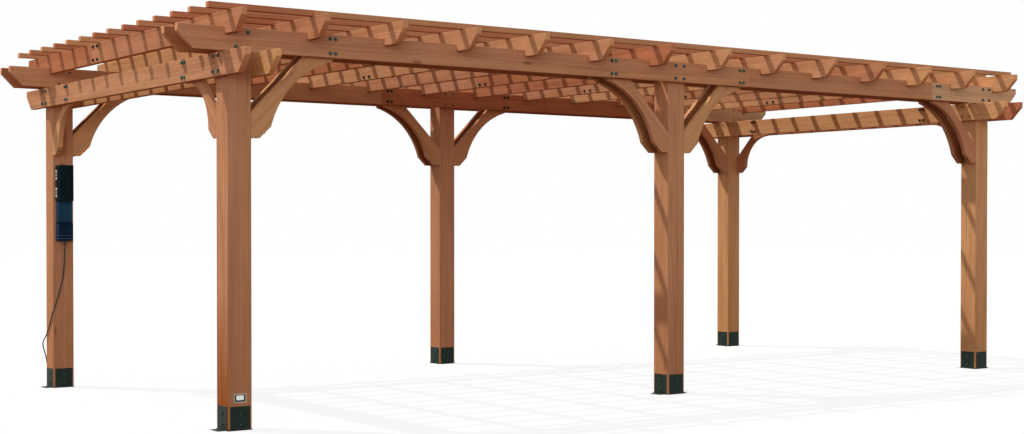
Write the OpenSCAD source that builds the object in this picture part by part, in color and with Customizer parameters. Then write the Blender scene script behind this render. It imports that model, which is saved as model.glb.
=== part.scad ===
// Six-post cedar pergola with paired beams, knee braces, notched rafters and roof battens.
// Millimetres, +Z up. Origin on the ground at the middle of the post layout.
// X runs along the length, Y across it, and the front row of posts is at -Y.

/* [Posts] */
// Side of a square post
post_side = 140; // [90:5:200]
// Distance between post centres along the length
bay_length = 3125; // [1500:25:4500]
// Distance between the front and back post centres
post_span = 2744; // [1500:4:4500]
// Small bevel along a post's corners
post_bevel = 2; // [1:1:10]

/* [Beams] */
// Height of the end beams' undersides above the ground
clear_height = 1911; // [1850:1:2600]
// Thickness of a beam board
beam_thickness = 35; // [25:1:60]
// Depth of a beam board
beam_depth = 130; // [100:1:250]
// Reach of the long beams past the end posts' centres
long_beam_reach = 370; // [200:5:600]
// Reach of the end beams past the posts' centres
end_beam_reach = 363; // [200:1:600]
// Upright part of a beam or rafter tail, above its slanting cut
tail_upright = 40; // [15:1:80]
// Gap at a butt joint between two boards in line
joint_gap = 0.6; // [0.2:0.1:0.9]

/* [Knee braces] */
// Drop from the end beams' undersides to the brace feet
brace_drop = 328; // [260:1:330]
// Thickness of one brace board
brace_thickness = 35; // [25:1:45]
// Height of a brace where it stands against its post
brace_post_contact = 136; // [80:1:180]
// Reach of a brace head along its beam, past the slanting edge at mid depth
brace_head_reach = 173; // [130:1:200]
// Reach of the hollow curve along the beam, past the slanting edge at mid depth
brace_curve_reach = 115; // [60:1:125]
// Gap between a brace head and the top of its beam
brace_head_gap = 5; // [1:1:20]

/* [Long beam braces] */
// Level stretch at the foot of a brace
long_brace_flat = 52; // [20:1:90]
// Width of the slanting cut at the foot
long_brace_cut_width = 69; // [30:1:110]
// Height of the slanting cut at the foot
long_brace_cut_height = 66; // [30:1:110]
// Radius of the hollow curve
long_brace_radius = 532; // [400:1:900]
// Distance of the curve's highest point under the beam
long_brace_lip = 0; // [0:1:10]

/* [End beam braces] */
// Level stretch at the foot of a brace
end_brace_flat = 45; // [20:1:90]
// Width of the slanting cut at the foot
end_brace_cut_width = 60; // [30:1:110]
// Height of the slanting cut at the foot
end_brace_cut_height = 52; // [30:1:110]
// Radius of the hollow curve
end_brace_radius = 270; // [250:1:900]
// Distance of the curve's highest point under the beam
end_brace_lip = 6; // [0:1:10]

/* [Rafters] */
// Number of rafters
rafter_count = 14; // [6:1:16]
// Thickness of a rafter
rafter_thickness = 35; // [25:1:60]
// Depth of a rafter
rafter_depth = 124; // [100:1:250]
// Depth of the notch that drops a rafter over a pair of long beams
rafter_notch = 41; // [15:1:55]
// Clearance on each side of a notch
notch_clearance = 1.5; // [0.5:0.5:4]
// Distance of the outermost rafters past the end posts' centres
end_rafter_offset = 88; // [0:1:200]
// Reach of the rafters past the posts' centres
rafter_reach = 316; // [200:1:600]

/* [Battens] */
// Number of roof battens
batten_count = 14; // [6:1:20]
// Width of a batten
batten_width = 36; // [25:1:60]
// Height of a batten
batten_height = 34; // [18:1:60]
// Reach of the battens past the outermost rafters' outer faces
batten_reach = 116; // [40:1:250]
// Distance from a rafter tip to the middle of the outermost batten
batten_edge = 158; // [40:1:350]

/* [Post anchors] */
// Thickness of the anchor steel
anchor_thickness = 4; // [3:0.5:8]
// Height of an anchor's side plates above the ground
anchor_height = 131; // [80:1:200]
// Corner gap from a side plate's edge to the post's corner
anchor_corner_gap = 11; // [5:1:30]
// Reach of a foot flange past its side plate
flange_reach = 46; // [30:1:80]
// Width of a foot flange
flange_width = 90; // [50:1:100]
// Diameter of the ground bolt hole in a foot flange
flange_hole = 12; // [8:0.5:16]

/* [Plaque] */
// Width of the blank plaque on the front left post
plaque_width = 77; // [40:1:84]
// Height of the plaque
plaque_height = 51; // [30:1:90]
// Thickness of the plaque
plaque_thickness = 3; // [1:0.5:6]
// Corner radius of the plaque
plaque_corner = 6; // [2:1:12]
// Height of the plaque's middle above the ground
plaque_middle = 175; // [170:1:1400]

/* [Power unit] */
// Width of the outlet housing and of the junction box
unit_width = 108; // [70:1:112]
// Depth of the outlet housing out from the post
unit_depth = 56; // [40:1:90]
// Height of the outlet housing
housing_height = 252; // [150:1:350]
// Height of the outlet housing's underside above the ground
housing_bottom = 1265; // [1220:1:1330]
// Edge radius of the outlet housing
housing_radius = 14; // [4:1:18]
// Width of the narrower neck under the housing
neck_width = 98; // [50:1:112]
// Depth of the neck out from the post
neck_depth = 42; // [25:1:70]
// Height of the neck
neck_height = 140; // [80:1:180]
// Height of the junction box
junction_height = 125; // [80:1:180]
// Depth of the junction box at the bottom
junction_depth = 50; // [40:1:80]
// Number of outlets in each of the two groups
outlets_per_group = 3; // [1:1:4]
// Height of one outlet face
outlet_height = 17; // [10:1:20]
// Width of one outlet face
outlet_width = 28; // [15:1:30]
// Stand-out of an outlet face
outlet_relief = 2; // [1:0.5:4]
// Distance between outlets of a group
outlet_pitch = 24; // [21:1:30]

/* [Power cord] */
// Diameter of the cord
cord_diameter = 8; // [5:0.5:9]
// Top diameter of the tapered strain relief under the junction box
gland_diameter = 17; // [12:1:24]
// Length of the strain relief
gland_length = 28; // [20:1:40]
// Wall of the strain relief at its narrow end
gland_wall = 1.5; // [1:0.5:3]
// Radius of the coil's innermost turn
coil_inner_radius = 36; // [32:1:50]
// Whole and part turns in the coil
coil_turns = 2.25; // [1.25:1:4.25]
// Width of the plug
plug_width = 28; // [22:1:34]
// Height of the plug
plug_height = 26; // [22:1:32]
// Length of the plug's body
plug_length = 36; // [25:1:50]

/* [Hidden] */
post_half = post_side / 2;
row_x = [-bay_length, 0, bay_length];
row_y = post_span / 2;

brace_foot_height = clear_height - brace_drop;
end_beam_top = clear_height + beam_depth;
long_beam_top = end_beam_top + beam_depth;
rafter_bottom = long_beam_top - rafter_notch;
rafter_top = rafter_bottom + rafter_depth;

// Half length of each kind of board
long_beam_half = bay_length + long_beam_reach;
end_beam_half = row_y + end_beam_reach;
rafter_half = row_y + rafter_reach;
batten_half = bay_length + end_rafter_offset + rafter_thickness / 2 + batten_reach;

rafter_pitch = 2 * (bay_length + end_rafter_offset) / (rafter_count - 1);
batten_row = rafter_half - batten_edge;
batten_pitch = 2 * batten_row / (batten_count - 1);

// Distance from a post's centre to the middle of a beam board beside it
beam_offset = post_half + beam_thickness / 2;

// Butt joints of the long beams fall at the brace bolts beside the middle and end posts
brace_bolt_share = 0.56;
brace_bolt_line = post_half + (long_beam_top - beam_depth / 2)
    - (brace_foot_height + brace_post_contact) + brace_head_reach * brace_bolt_share;

// Place of a flange's hole along its reach, and of the two outlet groups up the housing
flange_hole_share = 0.55;
outlet_group_shares = [0.26, 0.73];

curve_facets = 180;
round_facets = 48;
cut_extra = 2;

// Cord: the route down the post, round its corner and to the coil behind it
cord_radius = cord_diameter / 2;
cord_sides = 10;
cord_steps = 3;
post_back_left = [-bay_length, row_y, 0];
unit_bottom = housing_bottom - neck_height - junction_height;
gland_middle = [0, -post_half - junction_depth / 2, 0];
cord_route = [
    [0, -95, 972], [0, -94, 930], [1, -86, 875], [1, -77, 810], [-8, -75, 735],
    [-28, -75, 660], [-50, -75, 590], [-68, -76, 535], [-75, -62, 503], [-76, -25, 447],
    [-76, 15, 400], [-77, 50, 357], [-83, 84, 320], [-84, 104, 288], [-72, 118, 250],
    [-58, 122, 205], [-49, 122, 155], [-44, 122, 110], [-37, 122, 68], [-20, 122, 34],
    [8, 122, 17.3], [35, 122, 13.4], [60, 122, 13.3]
];
coil_middle = [60, 158, 0];
cord_clearance = 0.1;
tie_thickness = 0.8;
coil_pitch = cord_diameter + cord_clearance;
coil_ground = cord_radius + tie_thickness + cord_clearance;
coil_drop = cord_route[len(cord_route) - 1].z - coil_ground;
coil_drop_angle = 100;
coil_outer_turn = coil_inner_radius + coil_pitch * coil_turns;
coil_outer_radius = coil_outer_turn + cord_radius;
coil_facets = 96;
tail_length = 48;

// Plug: its strain relief, its two blades and its round pin
plug_relief_length = 22;
plug_relief_wall = 2;
plug_shoulder = 4;
plug_blade = [1.5, 17, 6.3];
plug_blade_spread = 12.7;
plug_blade_height = 4.5;
plug_pin_diameter = 4.8;
plug_pin_length = 20;
plug_pin_rise = 11.9;

function smooth_step(t) = t * t * (3 - 2 * t);
function unit_vector(v) = v / norm(v);

// Catmull-Rom curve through the points, with mirrored neighbours at its two ends
function route_point(p, i) =
    i < 0 ? 2 * p[0] - p[1] : i >= len(p) ? 2 * p[len(p) - 1] - p[len(p) - 2] : p[i];
function curve_point(a, b, c, d, t) =
    0.5 * (2 * b + (c - a) * t + (2 * a - 5 * b + 4 * c - d) * t * t
    + (3 * b - a - 3 * c + d) * t * t * t);
function smooth_route(p, steps) = [
    for (i = [0 : len(p) - 2], s = [0 : steps - 1])
        curve_point(route_point(p, i - 1), p[i], p[i + 1], route_point(p, i + 2), s / steps),
    p[len(p) - 1]
];

// Direction of the route at each ring, and a side direction carried from ring to ring
function route_direction(p, i) =
    unit_vector(route_point(p, i + 1) - route_point(p, i - 1));
function squared_to(side, along) = unit_vector(side - (side * along) * along);
function route_sides(p) = [
    for (i = 0, side = squared_to([1, 0.3, 0.2], route_direction(p, 0));
        i < len(p);
        i = i + 1,
        side = i < len(p) ? squared_to(side, route_direction(p, i)) : side)
        side
];

// Inner turn of the coil, where the cord comes down from the top of the turns
function coil_radius(angle) = coil_inner_radius + coil_pitch * angle / 360;
function coil_entry(angle) = [
    coil_middle.x + coil_radius(angle) * sin(angle),
    coil_middle.y - coil_radius(angle) * cos(angle),
    coil_ground + coil_drop * (1 - smooth_step(min(1, angle / coil_drop_angle)))
];

rafter_names = [for (i = [1 : rafter_count]) str("rafter_", i < 10 ? "0" : "", i)];
column_names = ["left", "middle", "right"];
side_names = ["front", "back"];
post_names = [for (s = side_names, c = column_names) str(s, "_", c)];

// Square with bevelled corners, for the posts
module bevelled_square(side, bevel) {
    h = side / 2;
    k = h - bevel;
    polygon([[-k, -h], [k, -h], [h, -k], [h, k], [k, h], [-k, h], [-h, k], [-h, -k]]);
}

// Rectangle with round corners, centred
module rounded_rectangle(width, height, radius) {
    square([width - 2 * radius, height], center = true);
    square([width, height - 2 * radius], center = true);
    for (sx = [-1, 1], sy = [-1, 1])
        translate([sx * (width / 2 - radius), sy * (height / 2 - radius)])
            circle(r = radius, $fn = round_facets);
}

// A board standing on edge along X, with a slanting cut under each tail
module tailed_board(half, depth, thickness) {
    cut = depth - tail_upright;
    rotate([90, 0, 0])
        linear_extrude(thickness, center = true)
            polygon([
                [-half + cut, 0], [half - cut, 0], [half, cut], [half, depth],
                [-half, depth], [-half, cut]
            ]);
}

// Thin gaps across a board along X, where its lengths butt together
module butt_joints(places, depth, thickness) {
    for (x = places)
        translate([x, 0, depth / 2])
            cube([joint_gap, thickness + cut_extra, depth + cut_extra], center = true);
}

module post(x, y) {
    color("#b9805f")
        translate([x, y, anchor_thickness])
            linear_extrude(long_beam_top - anchor_thickness)
                bevelled_square(post_side, post_bevel);
}

// Base plate, four side plates and foot flanges that point along the given turns
module anchor(x, y, flange_turns) {
    plate_width = post_side - 2 * anchor_corner_gap;
    hole_place = post_half + anchor_thickness + flange_reach * flange_hole_share;
    color("#1d2f2c")
        translate([x, y, 0]) {
            difference() {
                union() {
                    linear_extrude(anchor_thickness)
                        square(post_side + 2 * anchor_thickness, center = true);
                    for (turn = flange_turns)
                        rotate([0, 0, turn])
                            translate([0, -flange_width / 2, 0])
                                cube([post_half + anchor_thickness + flange_reach,
                                    flange_width, anchor_thickness]);
                    for (turn = [0 : 90 : 270])
                        rotate([0, 0, turn])
                            translate([post_half, -plate_width / 2, 0])
                                cube([anchor_thickness, plate_width, anchor_height]);
                }
                for (turn = flange_turns)
                    rotate([0, 0, turn])
                        translate([hole_place, 0, -cut_extra])
                            cylinder(h = anchor_thickness + 2 * cut_extra,
                                d = flange_hole, $fn = round_facets);
            }
        }
}

// One brace board, drawn upright in XZ with its post face on X = 0.
// The foot gives its level stretch, its cut's width and height, and the curve's radius and lip.
module brace_board(beam_bottom, foot) {
    head_top = beam_bottom + beam_depth - brace_head_gap;
    shoulder = brace_foot_height + brace_post_contact;
    slant_x = beam_bottom + beam_depth / 2 - shoulder;
    head_x = slant_x + brace_head_reach;
    step_x = slant_x + brace_curve_reach;
    cut_x = foot[0] + foot[1];
    cut_z = brace_foot_height + foot[2];
    radius = foot[3];
    rise = beam_bottom - foot[4] - cut_z;
    curve_x = cut_x + sqrt(2 * radius * rise - rise * rise);
    rotate([90, 0, 0])
        difference() {
            linear_extrude(brace_thickness, center = true)
                polygon([
                    [0, brace_foot_height], [foot[0], brace_foot_height], [cut_x, cut_z],
                    [step_x, cut_z], [step_x, beam_bottom], [head_x, beam_bottom],
                    [head_x, head_top], [head_top - shoulder, head_top], [0, shoulder]
                ]);
            translate([curve_x, cut_z + rise - radius, -brace_thickness])
                cylinder(h = 2 * brace_thickness, r = radius, $fn = curve_facets);
        }
}

// Brace boards flush with the given sides of a post, turned about it
module brace(x, y, turn, sides, beam_bottom, foot) {
    color("#a56f4f")
        translate([x, y, 0])
            rotate([0, 0, turn])
                for (side = sides)
                    translate([post_half, side * (post_half - brace_thickness / 2), 0])
                        brace_board(beam_bottom, foot);
}

// Braces of a post along the long beams, in pairs: one at a corner, two at a middle post
module long_brace(x, y) {
    turns = x < 0 ? [0] : x > 0 ? [180] : [0, 180];
    foot = [long_brace_flat, long_brace_cut_width, long_brace_cut_height,
        long_brace_radius, long_brace_lip];
    for (turn = turns)
        brace(x, y, turn, [-1, 1], end_beam_top, foot);
}

// A single brace board on the outer side of a corner post, along the end beams
module end_brace(x, y) {
    foot = [end_brace_flat, end_brace_cut_width, end_brace_cut_height,
        end_brace_radius, end_brace_lip];
    brace(x, y, y < 0 ? 90 : -90, [x * y > 0 ? 1 : -1], clear_height, foot);
}

// A long beam board on the given face of its row of posts
module long_beam(y, joints) {
    color("#a87252")
        translate([0, y, end_beam_top])
            difference() {
                tailed_board(long_beam_half, beam_depth, beam_thickness);
                butt_joints(joints, beam_depth, beam_thickness);
            }
}

module end_beam(x) {
    color("#c08a6b")
        translate([x, 0, clear_height])
            rotate([0, 0, 90])
                tailed_board(end_beam_half, beam_depth, beam_thickness);
}

// A rafter across the roof, notched over both pairs of long beams
module rafter(i) {
    notch_width = post_side + 2 * beam_thickness + 2 * notch_clearance;
    color("#b57b4e")
        translate([(i - (rafter_count - 1) / 2) * rafter_pitch, 0, rafter_bottom])
            rotate([0, 0, 90])
                difference() {
                    tailed_board(rafter_half, rafter_depth, rafter_thickness);
                    for (side = [-1, 1])
                        translate([side * row_y, 0, rafter_notch / 2 - cut_extra])
                            cube([notch_width, rafter_thickness + cut_extra,
                                rafter_notch + 2 * cut_extra], center = true);
                }
}

// Half of the battens, each in two lengths that meet over a rafter
module battens(first, last) {
    color("#b88a68")
        for (i = [first : last])
            translate([0, (i - (batten_count - 1) / 2) * batten_pitch,
                rafter_top + batten_height / 2])
                difference() {
                    cube([2 * batten_half, batten_width, batten_height], center = true);
                    translate([batten_joint(i), 0, 0])
                        cube([joint_gap, batten_width + cut_extra,
                            batten_height + cut_extra], center = true);
                }
}

// Joints alternate between the second rafter from each end
function batten_joint(i) =
    (i % 2 == 0 ? -1 : 1) * (rafter_count - 3) / 2 * rafter_pitch;

module plaque() {
    color("#c9ccc8")
        translate([-bay_length, -row_y - post_half, plaque_middle])
            rotate([90, 0, 0])
                linear_extrude(plaque_thickness)
                    rounded_rectangle(plaque_width, plaque_height, plaque_corner);
}

// Outlet housing: rounded in plan at its front edges and in front view at its corners
module outlet_housing() {
    color("#12202a")
        translate([-bay_length, row_y - post_half, housing_bottom])
            intersection() {
                linear_extrude(housing_height)
                    translate([0, (housing_radius - unit_depth) / 2])
                        rounded_rectangle(unit_width, unit_depth + housing_radius,
                            housing_radius);
                translate([0, 0, housing_height / 2])
                    rotate([90, 0, 0])
                        linear_extrude(unit_depth)
                            rounded_rectangle(unit_width, housing_height, housing_radius);
            }
}

// Neck and junction box under the outlet housing
module junction_box() {
    color("#1b2a3a")
        translate([-bay_length, row_y - post_half, 0]) {
            translate([-neck_width / 2, -neck_depth, housing_bottom - neck_height])
                cube([neck_width, neck_depth, neck_height]);
            translate([-unit_width / 2, -junction_depth, unit_bottom])
                cube([unit_width, junction_depth, junction_height]);
        }
}

// Two groups of outlet faces on the housing's outward side
module outlet_faces() {
    flat_depth = unit_depth - housing_radius;
    color("#e8e8e4")
        for (group = outlet_group_shares, i = [0 : outlets_per_group - 1])
            translate([-bay_length - unit_width / 2 - outlet_relief,
                row_y - post_half - flat_depth / 2 - outlet_width / 2,
                housing_bottom + group * housing_height - outlet_height / 2
                    + (i - (outlets_per_group - 1) / 2) * outlet_pitch])
                cube([outlet_relief, outlet_width, outlet_height]);
}

module cord_gland() {
    color("#15181a")
        translate(post_back_left + gland_middle + [0, 0, unit_bottom - gland_length])
            cylinder(h = gland_length, d1 = cord_diameter + 2 * gland_wall, d2 = gland_diameter,
                $fn = round_facets);
}

// A closed tube of the cord's size, swept along a list of points
module swept_cord(points) {
    sides = route_sides(points);
    rings = [
        for (i = [0 : len(points) - 1], k = [0 : cord_sides - 1])
            let (
                a = 360 * k / cord_sides,
                along = route_direction(points, i),
                across = sides[i],
                up = cross(along, across)
            )
            points[i] + cord_radius * (cos(a) * across + sin(a) * up)
    ];
    last = (len(points) - 1) * cord_sides;
    walls = [
        for (i = [0 : len(points) - 2], k = [0 : cord_sides - 1])
            let (n = (k + 1) % cord_sides, a = i * cord_sides, b = a + cord_sides)
            [a + k, b + k, b + n, a + n]
    ];
    caps = [
        [for (k = [0 : cord_sides - 1]) k],
        [for (k = [cord_sides - 1 : -1 : 0]) last + k]
    ];
    polyhedron(points = rings, faces = concat(walls, caps), convexity = 10);
}

module power_cord() {
    color("#101214")
        translate(post_back_left)
            swept_cord(smooth_route(cord_route, cord_steps));
}

// The coil's outer shape, with the cord's way in and its tail to the plug
module cord_coil() {
    turn_width = coil_outer_radius - coil_inner_radius + cord_radius;
    coil_height = cord_diameter + 2 * (tie_thickness + cord_clearance);
    tail_start = coil_middle + [coil_outer_turn, 0, coil_ground];
    plug_rise = plug_height / 2 - coil_ground;
    color("#101214")
        translate(post_back_left) {
            translate(coil_middle)
                rotate_extrude($fn = coil_facets)
                    translate([coil_inner_radius - cord_radius, 0])
                        square([turn_width, coil_height]);
            swept_cord([for (angle = [0 : 10 : coil_drop_angle - 20]) coil_entry(angle)]);
            swept_cord([
                for (t = [0 : 0.125 : 1])
                    tail_start + [0, tail_length * t, plug_rise * smooth_step(t)]
            ]);
        }
}

// Moulded plug lying on the ground, with two blades and a round pin
module cord_plug() {
    back = coil_middle + [coil_outer_turn, tail_length, 0];
    color("#15181a")
        translate(post_back_left + back) {
            translate([0, 0, plug_height / 2])
                rotate([-90, 0, 0])
                    cylinder(h = plug_relief_length, r1 = cord_radius + plug_relief_wall,
                        r2 = plug_height / 2 - plug_shoulder, $fn = round_facets);
            translate([-plug_width / 2, plug_relief_length, 0])
                cube([plug_width, plug_length, plug_height]);
            translate([0, plug_relief_length + plug_length, 0])
                plug_contacts();
        }
}

module plug_contacts() {
    for (side = [-1, 1])
        translate([side * plug_blade_spread / 2 - plug_blade.x / 2, 0, plug_blade_height])
            cube(plug_blade);
    translate([0, 0, plug_blade_height + plug_blade.z / 2 + plug_pin_rise])
        rotate([-90, 0, 0])
            cylinder(h = plug_pin_length, d = plug_pin_diameter, $fn = round_facets);
}

// Foot flanges point outwards at the ends, both ways at the front middle post,
// and to the back at the other two
flange_turns = [[180], [0, 180], [0], [180], [90], [90]];

for (side = [0, 1], column = [0 : 2]) {
    i = side * 3 + column;
    y = (2 * side - 1) * row_y;
    post(row_x[column], y);
    anchor(row_x[column], y, flange_turns[i]);
    long_brace(row_x[column], y);
    if (column != 1) end_brace(row_x[column], y);
}
end_beam(-bay_length - beam_offset);  // end_beam_left_outer
end_beam(-bay_length + beam_offset);  // end_beam_left_inner
end_beam(bay_length - beam_offset);  // end_beam_right_inner
end_beam(bay_length + beam_offset);  // end_beam_right_outer
long_beam(-row_y - beam_offset, [brace_bolt_line, bay_length - brace_bolt_line]);  // long_beam_front_outer
long_beam(-row_y + beam_offset, [-brace_bolt_line]);  // long_beam_front_inner
long_beam(row_y - beam_offset, [-brace_bolt_line]);  // long_beam_back_inner
long_beam(row_y + beam_offset, [brace_bolt_line]);  // long_beam_back_outer
for (i = [0 : rafter_count - 1])
    rafter(i);
battens(0, floor(batten_count / 2) - 1);  // battens_front
battens(floor(batten_count / 2), batten_count - 1);  // battens_back
plaque();
outlet_housing();
junction_box();
outlet_faces();
cord_gland();
power_cord();
cord_coil();
cord_plug();
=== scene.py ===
# Six-post cedar pergola: paired beams, knee braces, notched rafters and roof battens,
# with powder-coated post anchors, a blank plaque and a power unit with its cord.
# Metres, +Z up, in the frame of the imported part.
import math

import bpy
import numpy as np
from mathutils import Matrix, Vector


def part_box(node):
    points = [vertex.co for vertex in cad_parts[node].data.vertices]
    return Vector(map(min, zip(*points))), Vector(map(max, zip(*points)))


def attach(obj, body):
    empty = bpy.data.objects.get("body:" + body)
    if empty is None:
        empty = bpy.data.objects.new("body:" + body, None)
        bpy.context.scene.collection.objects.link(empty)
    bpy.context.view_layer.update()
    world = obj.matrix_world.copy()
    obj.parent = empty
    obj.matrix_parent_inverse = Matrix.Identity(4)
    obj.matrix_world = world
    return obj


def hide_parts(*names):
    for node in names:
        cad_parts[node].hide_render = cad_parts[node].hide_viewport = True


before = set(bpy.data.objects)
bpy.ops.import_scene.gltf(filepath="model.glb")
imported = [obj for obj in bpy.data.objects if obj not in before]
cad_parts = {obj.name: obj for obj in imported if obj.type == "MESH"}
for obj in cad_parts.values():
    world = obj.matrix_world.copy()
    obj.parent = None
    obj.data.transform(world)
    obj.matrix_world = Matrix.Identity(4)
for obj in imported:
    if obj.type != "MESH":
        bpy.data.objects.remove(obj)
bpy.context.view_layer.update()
print("frame loaded:", len(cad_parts), "nodes")

# draws place each board in its log, jog battens and screws and turn bolts; tints pick tones
draws = np.random.default_rng(11)
tints = np.random.default_rng(4)
xAxis, yAxis, zAxis = np.eye(3)


# Small tools

def linearColour(text):
    # sRGB to linear light: c / 12.92 below 0.04045, else ((c + 0.055) / 1.055) to the 2.4
    c = np.array([int(text[i:i + 2], 16) for i in (1, 3, 5)]) / 255
    linear = np.where(c <= 0.04045, c / 12.92, ((c + 0.055) / 1.055) ** 2.4)
    return (*linear.tolist(), 1.0)


def setInputs(tree, node, values):
    # each input is joined to a socket, or to a node's first output, or filled with a value
    for key, value in values.items():
        value = value.outputs[0] if isinstance(value, bpy.types.Node) else value
        if isinstance(value, bpy.types.NodeSocket):
            tree.links.new(value, node.inputs[key])
        else:
            node.inputs[key].default_value = value


def addNode(tree, kind, links=None, ramp=None, **settings):
    # adds one shader node, sets it, and joins or fills its inputs; ramp is [(place, hex), ...]
    node = tree.nodes.new("ShaderNode" + kind)
    for key, value in settings.items():
        setattr(node, key, value)
    setInputs(tree, node, links or {})
    if ramp:
        stops = node.color_ramp.elements
        while len(stops) < len(ramp):
            stops.new(0.5)
        for stop, (place, text) in zip(stops, ramp):
            stop.position = place
            stop.color = linearColour(text)
    return node


def newMaterial(name, values):
    # a Principled material and its tree, with plain values on the shader's own sockets
    material = bpy.data.materials.new(name)
    material.use_nodes = True
    tree = material.node_tree
    shader = tree.nodes["Principled BSDF"]
    setInputs(tree, shader, values)
    return material, tree, shader


def boxOf(node):
    low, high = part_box(node)
    return np.array(low), np.array(high)


def middleOf(node):
    return sum(boxOf(node)) / 2


def loftShell(rings, wrap=False):
    # rings[p, n] is ring p's point n: neighbours on a ring and between rings are joined by
    # quads. The first and last ring are closed, or joined to each other where wrap is true.
    # The signed volume turns the faces outwards.
    count, size = rings.shape[:2]
    points = rings.reshape(-1, 3)
    p, n = np.meshgrid(np.arange(count if wrap else count - 1), np.arange(size),
                       indexing="ij")
    q, m = (p + 1) % count, (n + 1) % size
    quads = np.stack([p * size + n, p * size + m, q * size + m, q * size + n],
                     -1).reshape(-1, 4)
    caps = [] if wrap else [np.arange(size)[::-1], (count - 1) * size + np.arange(size)]
    a, b, c, d = (points[quads[:, k]] for k in range(4))
    volume = np.einsum("ij,ij->", a, np.cross(b, c)) + np.einsum("ij,ij->", a, np.cross(c, d))
    for cap in caps:
        fan = points[cap]
        volume += np.einsum("ij,ij->", np.repeat(fan[:1], size - 2, 0),
                            np.cross(fan[1:-1], fan[2:]))
    if volume < 0:
        quads = quads[:, ::-1]
        caps = [cap[::-1] for cap in caps]
    return {"points": points, "quads": quads, "caps": caps,
            "smooth": np.ones(len(quads), bool), "cut": np.zeros(len(quads)),
            "place": points, "tone": np.ones(3)}


def makePiece(name, shells, material, replaced=()):
    # one mesh object from several closed shells, with their place, tone and cut attributes
    starts = np.cumsum([0] + [len(s["points"]) for s in shells])
    points = np.concatenate([s["points"] for s in shells])
    faces, smooth, cut = [], [], []
    for start, s in zip(starts, shells):
        faces += (s["quads"] + start).tolist() + [(cap + start).tolist() for cap in s["caps"]]
        smooth += s["smooth"].tolist() + [False] * len(s["caps"])
        cut += s["cut"].tolist() + list(s.get("capCut", [0.0] * len(s["caps"])))
    mesh = bpy.data.meshes.new(name)
    mesh.from_pydata(points.tolist(), [], faces)
    mesh.polygons.foreach_set("use_smooth", smooth)
    place = np.concatenate([s["place"] for s in shells])
    tone = np.concatenate([np.broadcast_to(s["tone"], s["points"].shape) for s in shells])
    for key, domain, kind, field, values in (
            ("place", "POINT", "FLOAT_VECTOR", "vector", place),
            ("tone", "POINT", "FLOAT_VECTOR", "vector", tone),
            ("cut", "FACE", "FLOAT", "value", np.array(cut))):
        mesh.attributes.new(key, kind, domain).data.foreach_set(
            field, values.astype(np.float32).ravel())
    mesh.materials.append(material)
    mesh.update()
    piece = bpy.data.objects.new(name, mesh)
    bpy.context.scene.collection.objects.link(piece)
    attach(piece, "root")
    if replaced:
        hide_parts(*replaced)
    return piece


# Camera, lights and floor

view = {
    "place": (-6.8256, -9.1621, 1.1155),
    "pitch": -0.728,
    "turn": -35.40,
    "lens": 54.983,
    "shift": (0.00248, 0.02634),
    "sun": {"travel": (0.411, -0.52, -1.0), "strength": 3.2, "softness": 1.0,
            "colour": "#fff4ea"},
    "fill": {"travel": (0.60, 0.80, -0.06), "strength": 1.05, "softness": 40.0,
             "colour": "#fff6f0"},
    "skyColour": "#f4f1ee", "skyStrength": 0.56,
    "floorSize": 90.0, "floorColour": "#ececea", "floorBounce": "#694a34",
    "shadowShare": 0.12,
}


def makeCamera():
    data = bpy.data.cameras.new("camera")
    camera = bpy.data.objects.new("camera", data)
    bpy.context.scene.collection.objects.link(camera)
    camera.location = view["place"]
    camera.rotation_euler = (math.radians(90 + view["pitch"]), 0, math.radians(view["turn"]))
    data.sensor_width = 36
    data.lens = view["lens"]
    data.shift_x, data.shift_y = view["shift"]
    data.clip_start, data.clip_end = 0.05, 200
    bpy.context.scene.camera = camera


def shownRays(tree):
    # 1 for the rays that should see a white surrounding: camera, glossy and transmission
    path = addNode(tree, "LightPath")
    both = addNode(tree, "Math", {0: path.outputs["Is Camera Ray"],
                                  1: path.outputs["Is Glossy Ray"]}, operation="MAXIMUM")
    return addNode(tree, "Math", {0: both, 1: path.outputs["Is Transmission Ray"]},
                   operation="MAXIMUM")


def makeLights():
    for name in ("sun", "fill"):
        values = view[name]
        lamp = bpy.data.lights.new(name, "SUN")
        lamp.energy = values["strength"]
        lamp.color = linearColour(values["colour"])[:3]
        lamp.angle = math.radians(values["softness"])
        source = bpy.data.objects.new(name, lamp)
        bpy.context.scene.collection.objects.link(source)
        travel = np.array(values["travel"])
        x, y, z = -travel / np.linalg.norm(travel)
        source.rotation_euler = (math.acos(z), 0, math.atan2(y, x) + math.pi / 2)

    world = bpy.data.worlds.new("surroundings")
    bpy.context.scene.world = world
    world.use_nodes = True
    tree = world.node_tree
    tree.nodes.clear()
    light = addNode(tree, "Background", {"Color": linearColour(view["skyColour"]),
                                         "Strength": view["skyStrength"]})
    white = addNode(tree, "Background", {"Color": (1, 1, 1, 1), "Strength": 1.0})
    mixed = addNode(tree, "MixShader", {0: shownRays(tree), 1: light, 2: white})
    addNode(tree, "OutputWorld", {"Surface": mixed})


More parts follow.
